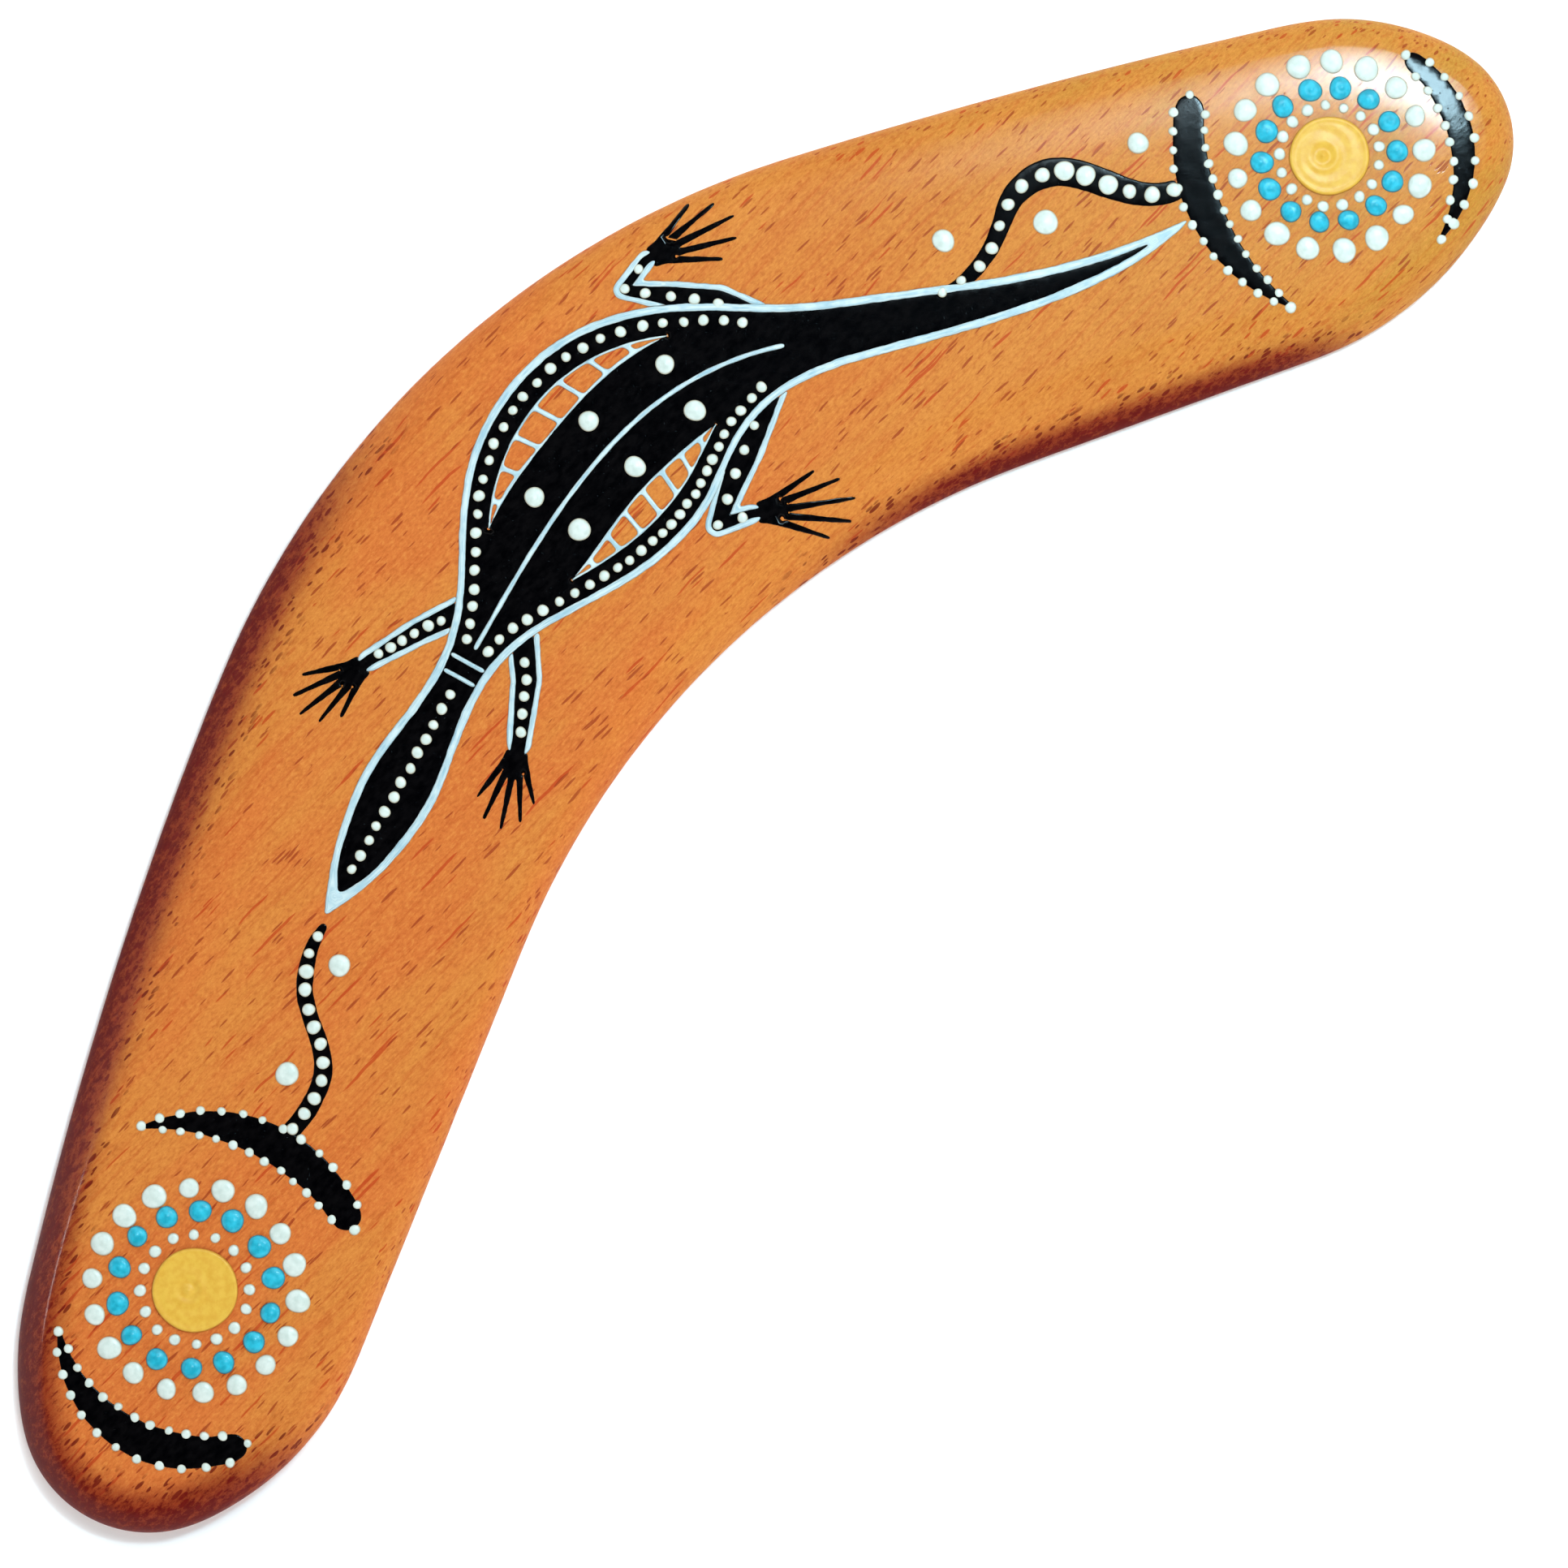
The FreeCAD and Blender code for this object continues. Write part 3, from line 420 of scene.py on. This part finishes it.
FILM, STROKE, FINE_STROKE = "film", "stroke", "fine_stroke"
SHEETS = {  # thickness, width of the soft edge, growth of the outline, wander of the outline
    FILM: (0.16, 0.30, 0.14, 0.10),
    STROKE: (0.34, 0.55, 0.04, 0.12),
    FINE_STROKE: (0.28, 0.32, 0.03, 0.07),
}
OUTLINE_SPACING = 0.4
WAVES = ((3.0, 0, 1.0), (0.9, 50, 0.5))  # an outline's wander: reach, seed and share of each wave
RIM_STEPS = (0.12, 0.3, 0.62, 1.0)  # rings of corners across the soft edge
RIM_KEEP = 0.86  # a rim corner nearer the outline than this share of its step is left out
SHEET_SPACING, SHEET_CLEAR = 1.1, 0.45  # inner corners, and how far they keep from the rim
SHEET_RELIEF = ((0.10, 1.6, 3), (0.05, 0.5, 9))  # a film's unevenness: share, reach and seed
SINK = 0.03  # how far paint reaches into the wood, so that no gap shows

DROP_STRETCH = 0.06  # how far from round a drop may be
DROP_THREE_SIDED = 0.02
DROP_PEAK_OFF = 0.16  # how far from its middle a drop's peak may be, in radii
DROP_ROUND = (2.6, 0.62)  # the powers that set the roundness of its side
PEAK_WIDE = 0.15  # its little peak, in radii
PEAK_RING, PEAK_RING_WIDE, PEAK_RING_DEEP = 0.36, 0.14, 0.55  # the groove round the peak
RISE_SPREAD = 0.15
FINE_RADIUS = 1.4  # drops above this radius get the finer mesh
FINE_MESH, COARSE_MESH = (40, 12), (22, 7)  # segments and rings

DISC_MESH = (96, 44)
DISC_RING_POWER = 1.35  # brings the rings closer together towards the rim
DISC_PEAK = (-0.13, 0.10)  # where the brush was lifted, in radii
DISC_OVAL, DISC_FIVE_SIDED = 0.012, 0.006
DISC_ROUND = 0.45  # width of the rounded side
SWIRL_RISE, SWIRL_TURN, SWIRL_REACH = 0.08, 2.3, 4.5
# Each PLACE is the middle and width of a swelling or hollow.
BRIM_RISE, BRIM_PLACE = 0.06, (0.55, 0.35)  # the raised rim, by depth inside the outline
LIFT_RISE, LIFT_WIDE = 0.30, 0.5  # the peak itself
GROOVE_DEEP, GROOVE_PLACE = 0.16, (1.3, 0.55)  # the hollow round the peak
RIPPLE_RISE, RIPPLE_PLACE = 0.06, (2.5, 0.5)  # the low ring beyond it
DISC_FADE = (0.4, 2.0)  # depth over which the swirl, hollow and ring set in


class Face:
    """The board's crowned face, to lay paint on."""

    def __init__(self, piece):
        corners = [v.co / MM for v in piece.data.vertices]
        self.tree = BVHTree.FromPolygons(corners, [p.vertices[:] for p in piece.data.polygons])

    def laid(self, corners):
        """Corners measured up from a flat face, moved onto the real one."""
        corners = np.array(corners, float)
        for corner in corners:
            hit = self.tree.ray_cast(Vector((corner[0], corner[1], 2 * THICK)), Vector((0, 0, -1)))[0]
            corner[2] += hit.z if hit else THICK
        return corners


def ground_of(name):
    """How far above the face a CAD node starts: 0 on wood, and a film's thickness on a film."""
    return max(0.0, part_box(name)[0].z / MM - THICK)


def painted_sheet(name, face, kind):
    """A film or stroke of paint with a soft, slightly wandering edge."""
    thick, soft, grow, wander = SHEETS[kind]
    ground = ground_of(name)
    loops, inner = [], []
    for number, outline in enumerate(top_outlines(name)):
        loop = softened(resampled(outline, OUTLINE_SPACING), 3)
        away = outward(loop)
        shift = grow
        for reach, seed, share in WAVES:
            shift = shift + share * wander * drift(loop, reach, number + seed)
        loops.append(loop + away * shift[:, None])
    tree = tree_of(np.vstack(loops))
    for loop in loops:
        away = outward(loop)
        for step in RIM_STEPS:
            ring = loop - away * (soft * step)
            inner.append(ring[distances(ring, tree) > RIM_KEEP * soft * step])
    inner.append(lattice(loops, SHEET_SPACING, soft + SHEET_CLEAR, tree))
    inner = np.vstack([part for part in inner if len(part)])
    inner = inner[inside(inner, loops)]
    points, triangles = triangulated(loops, inner)
    depth = distances(points, tree)
    part = np.clip(depth / soft, 0, 1)
    unevenness = 1
    for share, reach, seed in SHEET_RELIEF:
        unevenness = unevenness + share * drift(points, reach, seed)
    top = ground + thick * np.sqrt(1 - (1 - part) ** 2) * unevenness
    corners, faces = closed_sheet(points, triangles, top, ground - SINK)
    return new_object(name + "_painted", face.laid(corners), faces, {"depth": np.tile(depth, 2)})


def dome_stations(segments, rings):
    """The ring and angle of each upper corner of a dome, from the rim in to its top."""
    for ring in range(rings):
        for segment in range(segments):
            yield ring, 2 * math.pi * segment / segments
    yield rings, 0.0


def dome_faces(segments, rings):
    """Faces over a middle corner underneath and then the corners at dome_stations."""
    faces = [(0, 1 + (s + 1) % segments, 1 + s) for s in range(segments)]
    for ring in range(rings - 1):
        base = 1 + ring * segments
        for s in range(segments):
            t = (s + 1) % segments
            faces.append((base + s, base + t, base + segments + t, base + segments + s))
    base, top = 1 + (rings - 1) * segments, 1 + rings * segments
    return faces + [(base + s, base + (s + 1) % segments, top) for s in range(segments)]


def swelling(at, middle, wide):
    """A smooth swelling, 1 at its middle and near 0 two widths away."""
    return math.exp(-((at - middle) / wide) ** 2)


def drop(radius, rise, chance, segments, rings, peak_share):
    """Corners of one drop of paint round the origin, and its depth at each corner.

    peak_share is how high its peak stands, as a share of its rise.
    """
    oval, three_sided, _ = [chance.uniform(0, 2 * math.pi) for _ in range(3)]
    stretch = chance.uniform(0.0, DROP_STRETCH)
    off = chance.uniform(0.0, DROP_PEAK_OFF)
    lean = chance.uniform(0, 2 * math.pi)
    outer_power, inner_power = DROP_ROUND
    corners, depth = [(0.0, 0.0, -SINK)], [radius]
    for ring, angle in dome_stations(segments, rings):
        share = math.cos(math.pi / 2 * ring / rings)
        swell = 1 + stretch * math.cos(2 * (angle - oval))
        swell += DROP_THREE_SIDED * math.cos(3 * (angle - three_sided))
        reach = radius * swell * share
        x, y = reach * math.cos(angle), reach * math.sin(angle)
        far = math.hypot(x - off * radius * math.cos(lean), y - off * radius * math.sin(lean)) / radius
        height = rise * (1 - share ** outer_power) ** inner_power
        peak = swelling(far, 0.0, PEAK_WIDE) - PEAK_RING_DEEP * swelling(far, PEAK_RING, PEAK_RING_WIDE)
        height += rise * peak_share * peak
        corners.append((x, y, height if ring else -SINK))
        depth.append(radius * (1 - share))
    return np.array(corners), depth


def painted_drops(name, face, size_spread, place_spread, peak_share):
    """The drops of one CAD node as one piece of many islands, each a little different."""
    chance = random.Random(name)
    ground = ground_of(name)
    corners, faces, depth = [], [], []
    for island in islands(name):
        low, high = island.min(0), island.max(0)
        radius = (high[0] - low[0]) / 2 * (1 + chance.uniform(-size_spread, size_spread))
        rise = (high[2] - low[2]) * (1 + chance.uniform(-RISE_SPREAD, RISE_SPREAD))
        segments, rings = FINE_MESH if radius > FINE_RADIUS else COARSE_MESH
        shape, inward = drop(radius, rise, chance, segments, rings, peak_share)
        middle = (low + high) / 2
        shape[:, 0] += middle[0] + chance.uniform(-place_spread, place_spread)
        shape[:, 1] += middle[1] + chance.uniform(-place_spread, place_spread)
        shape[:, 2] += ground
        first = len(corners)
        corners += shape.tolist()
        faces += [tuple(i + first for i in side) for side in dome_faces(segments, rings)]
        depth += inward
        chance.random()  # a spare draw: without it all later drops would change
    return new_object(name + "_painted", face.laid(corners), faces, {"depth": depth})


def painted_disc(name, face):
    """A yellow disc: a raised rim, a shallow swirl and the peak where the brush was lifted."""
    low, high = (np.array(corner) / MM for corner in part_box(name))
    middle, radius, rise = (low + high) / 2, (high[0] - low[0]) / 2, high[2] - low[2]
    peak = np.array(DISC_PEAK) * radius
    turn = random.Random(name).uniform(0, 2 * math.pi)
    segments, rings = DISC_MESH
    corners, depth = [(0.0, 0.0, -SINK)], [radius]
    for ring, angle in dome_stations(segments, rings):
        share = 1 - (ring / rings) ** DISC_RING_POWER
        wobble = 1 + DISC_OVAL * math.cos(2 * angle + turn) + DISC_FIVE_SIDED * math.cos(5 * angle)
        reach = radius * share * wobble
        x, y = reach * math.cos(angle), reach * math.sin(angle)
        inward = radius * (1 - share)
        far = math.hypot(x - peak[0], y - peak[1])
        way = math.atan2(y - peak[1], x - peak[0])
        fade = smooth(inward, *DISC_FADE)
        height = rise * math.sqrt(1 - (1 - min(inward / DISC_ROUND, 1)) ** 2)
        height += BRIM_RISE * swelling(inward, *BRIM_PLACE) if ring else 0
        height += fade * SWIRL_RISE * math.sin(far * SWIRL_TURN - way + turn) * math.exp(-far / SWIRL_REACH)
        groove = fade * GROOVE_DEEP * swelling(far, *GROOVE_PLACE)
        height += LIFT_RISE * swelling(far, 0.0, LIFT_WIDE) - groove
        height += fade * RIPPLE_RISE * swelling(far, *RIPPLE_PLACE)
        corners.append((x, y, height if ring else -SINK))
        depth.append(inward)
    corners = np.array(corners) + [middle[0], middle[1], 0]
    faces = dome_faces(segments, rings)
    return new_object(name + "_painted", face.laid(corners), faces, {"depth": depth})


# ---------------------------------------------------------------- finishes


class Finish:
    """A node material built up round one Principled shader."""

    def __init__(self, name, constants):
        self.material = bpy.data.materials.new(name)
        self.material.use_nodes = True
        self.tree = self.material.node_tree
        self.shader = self.tree.nodes["Principled BSDF"]
        for socket, value in constants.items():
            self.shader.inputs[socket].default_value = value

    def add(self, kind, inputs, **settings):
        """A new node, with its inputs set to numbers or linked to other outputs."""
        made = self.tree.nodes.new("ShaderNode" + kind)
        for key, value in settings.items():
            setattr(made, key, value)
        for socket, value in inputs.items():
            if isinstance(value, bpy.types.NodeSocket):
                self.tree.links.new(value, made.inputs[socket])
            else:
                made.inputs[socket].default_value = value
        return made

    def place(self, scale=(1, 1, 1)):
        """Position on the object in millimetres, scaled for a texture."""
        if not hasattr(self, "coordinates"):
            self.coordinates = self.add("TexCoord", {}).outputs["Object"]
        scaled = [s / MM for s in scale]
        return self.add("Mapping", {"Vector": self.coordinates, "Scale": scaled}).outputs[0]

    def noise(self, vector, scale=1.0, detail=2.0, rough=0.5, warp=0.0):
        """Soft random values round 0.5."""
        settings = {"Vector": vector, "Scale": scale, "Detail": detail, "Roughness": rough,
                    "Distortion": warp}
        return self.add("TexNoise", settings).outputs["Fac"]

    def mark(self, name):
        """A number stored at the mesh's corners."""
        return self.add("Attribute", {}, attribute_name=name).outputs["Fac"]

    def calc(self, operation, first, second):
        """The result of a sum on two numbers."""
        return self.add("Math", {0: first, 1: second}, operation=operation).outputs[0]

    def times(self, first, second):
        """One number times another."""
        return self.calc("MULTIPLY", first, second)

    def span(self, value, low, high, to_low=0.0, to_high=1.0):
        """A value eased from one range to another."""
        return self.add("MapRange", {"Value": value, "From Min": low, "From Max": high, "To Min": to_low,
                                     "To Max": to_high}, interpolation_type="SMOOTHSTEP").outputs[0]

    def blend(self, share, first, second):
        """A share of the second colour over the first."""
        return self.add("Mix", {0: share, 6: first, 7: second}, data_type="RGBA").outputs[2]

    def drive(self, socket, value):
        """Links a value to an input of the shader."""
        self.tree.links.new(value, self.shader.inputs[socket])

    def bump(self, height, distance, strength):
        """Relief of a height from 0 to 1 over a distance in millimetres."""
        made = self.add("Bump", {"Height": height, "Distance": distance * MM, "Strength": strength})
        self.drive("Normal", made.outputs[0])
        self.drive("Coat Normal", made.outputs[0])


def rgb(red, green, blue):
    """A colour from 0-255 screen values."""
    parts = (c / 255 for c in (red, green, blue))
    return (*(p / 12.92 if p <= 0.04045 else ((p + 0.055) / 1.055) ** 2.4 for p in parts), 1.0)


GRAIN_BEND = 0.15  # scale of the slow noise that bends the grain
MARK_EDGE = (0.5, 0.3)  # radii between which the side of a vessel mark fades in
CROWDED = (0.36, 0.62)  # values of the gathering noise from the fewest marks to the most
FEWEST = 0.25  # marks where they are fewest, as a share of the most


def vessels(finish, size, radius, kept, gather):
    """Short dark vessel marks along the grain: 1 inside a mark and 0 between them.

    Each mark is a cell of the given size, of which radius is the filled share. Marks gather
    where a slow noise of the scale gather is high: kept is the share of cells that hold one
    there. The grain is bent by another slow noise.
    """
    slow = finish.place((GRAIN_BEND, GRAIN_BEND, GRAIN_BEND))
    bend = finish.add("TexNoise", {"Vector": slow, "Scale": 1.0, "Detail": 1.0}).outputs["Color"]
    bent = finish.add("VectorMath", {0: finish.place(), 1: bend}, operation="ADD").outputs[0]
    cells = finish.add("Mapping", {"Vector": bent, "Scale": [1 / s for s in size]}).outputs[0]
    cell = finish.add("TexVoronoi", {"Vector": cells, "Scale": 1.0, "Randomness": 1.0}, feature="F1")
    chance = finish.add("SeparateColor", {"Color": cell.outputs["Color"]})
    smaller = finish.times(chance.outputs[1], radius * 0.5)
    away = finish.calc("SUBTRACT", cell.outputs["Distance"], smaller)
    mark = finish.span(away, *(radius * share for share in MARK_EDGE))
    crowd = finish.noise(finish.place((0.03, 0.16, 0.16)), scale=gather, detail=2)
    share = finish.span(crowd, *CROWDED, 1 - FEWEST * kept, 1 - kept)
    return finish.times(mark, finish.calc("GREATER_THAN", chance.outputs[0], share))


def varnished_wood():
    """Orange-brown hardwood under varnish, darkened red-brown along the long bevels by a real stain and by
    painted shade.
    """
    wood = Finish("varnished_wood", {"Roughness": 0.5, "Coat Roughness": 0.13, "Coat IOR": 1.45,
                                     "Specular IOR Level": 0.08})
    along = wood.add("SeparateXYZ", {"Vector": wood.place()}).outputs[0]
    base = wood.blend(wood.span(along, -175, -20), rgb(196, 106, 50), rgb(194, 106, 48))
    base = wood.blend(wood.span(along, 20, 170), base, rgb(177, 126, 50))
    cloud = wood.noise(wood.place((0.02, 0.07, 0.07)), detail=3)
    streak = wood.noise(wood.place((0.06, 1.3, 1.3)), detail=5, rough=0.7, warp=0.4)
    speck = wood.noise(wood.place((0.9, 1.9, 1.9)), detail=4, rough=0.8)
    base = wood.blend(wood.span(cloud, 0.40, 0.62, 0, 0.65), base, rgb(194, 124, 54))
    base = wood.blend(wood.span(streak, 0.46, 0.70, 0, 0.55), base, rgb(172, 72, 30))
    base = wood.blend(wood.span(speck, 0.50, 0.66, 0, 0.4), base, rgb(214, 144, 70))
    base = wood.blend(wood.span(speck, 0.50, 0.36, 0, 0.45), base, rgb(160, 78, 32))
    long_marks = vessels(wood, (24.0, 1.0, 1.0), 0.36, 0.62, 1.0)
    short_marks = vessels(wood, (6.0, 0.75, 0.75), 0.40, 0.5, 1.4)
    bevel_marks = vessels(wood, (3.0, 0.9, 0.9), 0.50, 0.95, 2.0)
    base = wood.blend(wood.times(long_marks, 0.75), base, rgb(170, 54, 22))
    base = wood.blend(wood.times(short_marks, 0.75), base, rgb(138, 48, 22))
    stain_and_shade = wood.mark("stain_and_shade")
    patch = wood.noise(wood.place((0.45, 0.9, 0.9)), detail=5, rough=0.85)
    uneven = wood.calc("SUBTRACT", patch, 0.5)
    # A thin wash of stain and painted shade, and over it a darker band of both that breaks up into specks
    # where it ends.
    pale_stain_and_shade = wood.span(wood.calc("ADD", stain_and_shade, wood.times(uneven, 0.5)), 0.05, 0.75)
    base = wood.blend(wood.times(pale_stain_and_shade, 0.9), base, rgb(122, 38, 20))
    edge = wood.span(wood.calc("ADD", stain_and_shade, wood.times(uneven, 2.4)), 0.55, 1.05)
    edge = wood.times(edge, wood.span(stain_and_shade, 0.0, 0.10))
    base = wood.blend(wood.times(edge, 0.92), base, rgb(84, 8, 8))
    bevel_marks = wood.times(bevel_marks, wood.span(stain_and_shade, 0.0, 0.25))
    base = wood.blend(wood.times(bevel_marks, 0.85), base, rgb(96, 16, 10))
    wood.drive("Base Color", base)
    # The varnish thins out towards the border, over a wider band on the right arm.
    depth = wood.mark("depth")
    left_coat = wood.span(depth, 0.3, 5.0, 0.0, 0.5)
    right_coat = wood.span(depth, 2.5, 13.0, 0.0, 0.6)
    coats = {0: wood.span(along, -CHANGE_OVER, CHANGE_OVER), 2: left_coat, 3: right_coat}
    wood.drive("Coat Weight", wood.add("Mix", coats, data_type="FLOAT").outputs[0])
    relief = wood.calc("SUBTRACT", wood.times(streak, 0.5), wood.times(short_marks, 0.6))
    wood.bump(wood.calc("ADD", relief, wood.times(speck, 0.35)), 0.04, 0.5)
    return wood.material


def black_paint():
    """Black film, glossy, with brush marks and a few tiny pits."""
    paint = Finish("black_film", {"Roughness": 0.4, "Coat Weight": 0.35, "Coat Roughness": 0.14,
                                  "Coat IOR": 1.45, "Specular IOR Level": 0.0})
    brushed = paint.noise(paint.place((0.5, 0.9, 0.9)), detail=4, rough=0.6)
    paint.drive("Base Color", paint.blend(paint.span(brushed, 0.3, 0.75), rgb(1, 1, 2), rgb(9, 8, 9)))
    pits = paint.add("TexVoronoi", {"Vector": paint.place((1.1, 1.1, 1.1)), "Scale": 1.0})
    pit = paint.span(pits.outputs["Distance"], 0.05, 0.16)
    paint.bump(paint.calc("ADD", paint.times(brushed, 0.6), pit), 0.04, 0.7)
    return paint.material


def opaque_paint(name, light, deep, rim, speck_strength, rough):
    """Thick acrylic: a light colour that drifts to a deeper one, and a rim colour where it thins; on the
    turquoise drops that dark rim is also painted shade of the dome's sides.
    """
    paint = Finish(name, {"Roughness": rough, "Coat Weight": 0.2, "Coat Roughness": 0.25,
                          "Specular IOR Level": 0.45})
    drifting = paint.noise(paint.place((0.7, 0.7, 0.7)), detail=3)
    speck = paint.noise(paint.place((4.0, 4.0, 4.0)), detail=2, rough=0.6)
    base = paint.blend(paint.span(drifting, 0.3, 0.7, 0, 0.8), light, deep)
    base = paint.blend(paint.span(speck, 0.62, 0.78, 0, speck_strength), base, deep)
    # The rim colour near the outline: thin paint, and on the turquoise drops also painted shade.
    base = paint.blend(paint.span(paint.mark("depth"), 0.34, 0.0, 0, 0.75), base, rim)
    paint.drive("Base Color", base)
    paint.bump(paint.calc("ADD", paint.times(speck, 0.5), drifting), 0.05, 0.5)
    return paint.material


def brushed_line():
    """Pale icy paint drawn with a small brush: streaks that run along the stroke."""
    paint = Finish("brushed_line", {"Roughness": 0.42, "Coat Weight": 0.25, "Coat Roughness": 0.25,
                                    "Specular IOR Level": 0.4})
    depth = paint.mark("depth")
    settings = {"Vector": paint.place((0.22, 0.22, 0.22)), "W": paint.times(depth, 9.0),
                "Scale": 1.0, "Detail": 3.0, "Roughness": 0.6}
    streak = paint.add("TexNoise", settings, noise_dimensions="4D").outputs["Fac"]
    patch = paint.noise(paint.place((0.5, 0.5, 0.5)), detail=3)
    base = paint.blend(paint.span(streak, 0.35, 0.68), rgb(194, 210, 210), rgb(142, 176, 188))
    base = paint.blend(paint.span(patch, 0.5, 0.75, 0, 0.45), base, rgb(140, 174, 192))
    base = paint.blend(paint.span(depth, 0.16, 0.0, 0, 0.7), base, rgb(120, 120, 105))
    paint.drive("Base Color", base)
    paint.bump(paint.calc("ADD", streak, paint.times(patch, 0.4)), 0.08, 0.7)
    return paint.material


def floor_finish():
    """Plain matt white card."""
    card = Finish("studio_floor", {"Roughness": 0.9, "Specular IOR Level": 0.1})
    tooth = card.noise(card.place((0.4, 0.4, 0.4)), detail=2)
    card.drive("Base Color", card.blend(tooth, rgb(250, 250, 250), rgb(255, 255, 255)))
    return card.material


# ---------------------------------------------------------------- building the object

FINISHES = {  # one for each material slot
    "wood": varnished_wood(),
    "black_paint": black_paint(),
    "white_paint": opaque_paint(
        "white_drops", light=rgb(204, 214, 207), deep=rgb(182, 196, 188), rim=rgb(160, 146, 112),
        speck_strength=0.5, rough=0.35),
    # Its dark rim colour is partly thin paint and partly painted shade of the drop's domed side.
    "turquoise_paint": opaque_paint(
        "turquoise_drops", light=rgb(44, 176, 200), deep=rgb(12, 138, 160), rim=rgb(2, 74, 90),
        speck_strength=0.2, rough=0.4),
    "yellow_paint": opaque_paint(
        "yellow_discs", light=rgb(210, 168, 62), deep=rgb(200, 150, 46), rim=rgb(176, 116, 30),
        speck_strength=0.05, rough=0.55),
    "pale_line_paint": brushed_line(),
}
FINE_LINES = ("lizard_window_lines", "lizard_centre_line", "lizard_neck_bands")


def slot_of(name):
    """The record's material slot of a CAD node, which its own material is named after."""
    return NODES[name].data.materials[0].name


def painted(name, face):
    """The visible piece for one CAD node of paint."""
    slot = slot_of(name)
    if slot == "yellow_paint":
        return painted_disc(name, face)
    if slot == "turquoise_paint":
        return painted_drops(name, face, size_spread=0.07, place_spread=0.22, peak_share=0.10)
    if slot == "white_paint":
        return painted_drops(name, face, size_spread=0.12, place_spread=0.18, peak_share=0.07)
    if slot == "black_paint":
        return painted_sheet(name, face, FILM)
    return painted_sheet(name, face, FINE_STROKE if name in FINE_LINES else STROKE)


body = board()
surface = Face(body)
hand_over(body, "wooden_body", FINISHES["wood"])
for node in sorted(set(NODES) - {"wooden_body"}):
    hand_over(painted(node, surface), node, FINISHES[slot_of(node)])

# ---------------------------------------------------------------- studio, in metres

VIEW_CENTRE = (0.0013, -0.0374)
VIEW_WIDE = 0.2747  # width of the stretch that the picture shows
VIEW_ROLL = math.radians(-45.77)
LENS, SENSOR = 200.0, 36.0  # millimetres
NEAR_CLIP, FAR_CLIP = 0.01, 20
FLOOR_HALF, FLOOR_HEIGHT = 1.6, -0.0002
# Where the room has a colour, from 0 at the horizon to 1 straight overhead, and that colour.
WALLS, OVERHEAD = (0.12, (1, 1, 1, 1)), (0.8, (0.01, 0.01, 0.012, 1))


def camera():
    """Straight above the face, rolled so that the span runs from bottom left to top right."""
    data = bpy.data.cameras.new("view")
    data.lens, data.sensor_width = LENS, SENSOR
    data.clip_start, data.clip_end = NEAR_CLIP, FAR_CLIP
    made = bpy.data.objects.new("view", data)
    made.location = (*VIEW_CENTRE, THICK * MM + VIEW_WIDE * LENS / SENSOR)
    made.rotation_euler = (0, 0, VIEW_ROLL)
    bpy.context.scene.collection.objects.link(made)
    bpy.context.scene.camera = made


def softbox(name, place, aim, wide, deep, watts, colour=(1, 1, 1), mirrored=True):
    """A rectangular soft light at a place, turned to an aim, that gloss may mirror or not."""
    data = bpy.data.lights.new(name, "AREA")
    data.shape, data.size, data.size_y = "RECTANGLE", wide, deep
    data.energy, data.color = watts, colour
    made = bpy.data.objects.new(name, data)
    made.location = place
    made.rotation_mode = "QUATERNION"
    made.rotation_quaternion = (Vector(aim) - Vector(place)).to_track_quat("-Z", "Y")
    made.visible_glossy = mirrored
    bpy.context.scene.collection.objects.link(made)


def surroundings():
    """A pale room, bright round the walls and dim overhead, so that black gloss stays black."""
    world = bpy.data.worlds.new("room")
    world.use_nodes = True
    tree = world.node_tree
    place = tree.nodes.new("ShaderNodeTexCoord")
    parts = tree.nodes.new("ShaderNodeSeparateXYZ")
    ramp = tree.nodes.new("ShaderNodeValToRGB")
    tree.links.new(place.outputs["Generated"], parts.inputs[0])
    tree.links.new(parts.outputs[2], ramp.inputs[0])
    tree.links.new(ramp.outputs[0], tree.nodes["Background"].inputs["Color"])
    ramp.color_ramp.interpolation = "EASE"
    for stop, (position, colour) in zip(ramp.color_ramp.elements, (WALLS, OVERHEAD)):
        stop.position, stop.color = position, colour
    tree.nodes["Background"].inputs["Strength"].default_value = 1.0
    bpy.context.scene.world = world


def floor():
    """A pale sheet just under the board."""
    mesh = bpy.data.meshes.new("floor")
    plan = ((-1, -1), (1, -1), (1, 1), (-1, 1))
    corners = [(FLOOR_HALF * x, FLOOR_HALF * y, FLOOR_HEIGHT) for x, y in plan]
    mesh.from_pydata(corners, [], [(0, 1, 2, 3)])
    made = bpy.data.objects.new("floor", mesh)
    mesh.materials.append(floor_finish())
    bpy.context.scene.collection.objects.link(made)


camera()
surroundings()
floor()
bpy.context.scene.view_settings.view_transform = "Standard"
# Two small lights make the glare on the right tip, and a strip makes the streak on the left edge.
# The two large lights reach everything, but gloss doesn't mirror them.
softbox("tip_light", place=(0.290, -0.002, 0.62), aim=(0.16, -0.03, 0.0), wide=0.12, deep=0.06,
        watts=2.3, colour=(0.55, 0.86, 1.0))
softbox("haze_light", place=(0.225, 0.060, 0.62), aim=(0.14, -0.005, 0.0), wide=0.14, deep=0.05,
        watts=0.22, colour=(0.70, 0.90, 1.0))
softbox("key_light", place=(1.60, 0.80, 2.10), aim=(0, 0, 0), wide=2.0, deep=2.0, watts=58.0,
        mirrored=False)
softbox("fill_light", place=(-1.30, -1.90, 1.90), aim=(0, 0, 0), wide=2.0, deep=2.0, watts=58.0,
        mirrored=False)
softbox("edge_light", place=(-0.614, 0.649, 0.50), aim=(-0.155, -0.006, 0), wide=0.20, deep=0.03,
        watts=0.6)
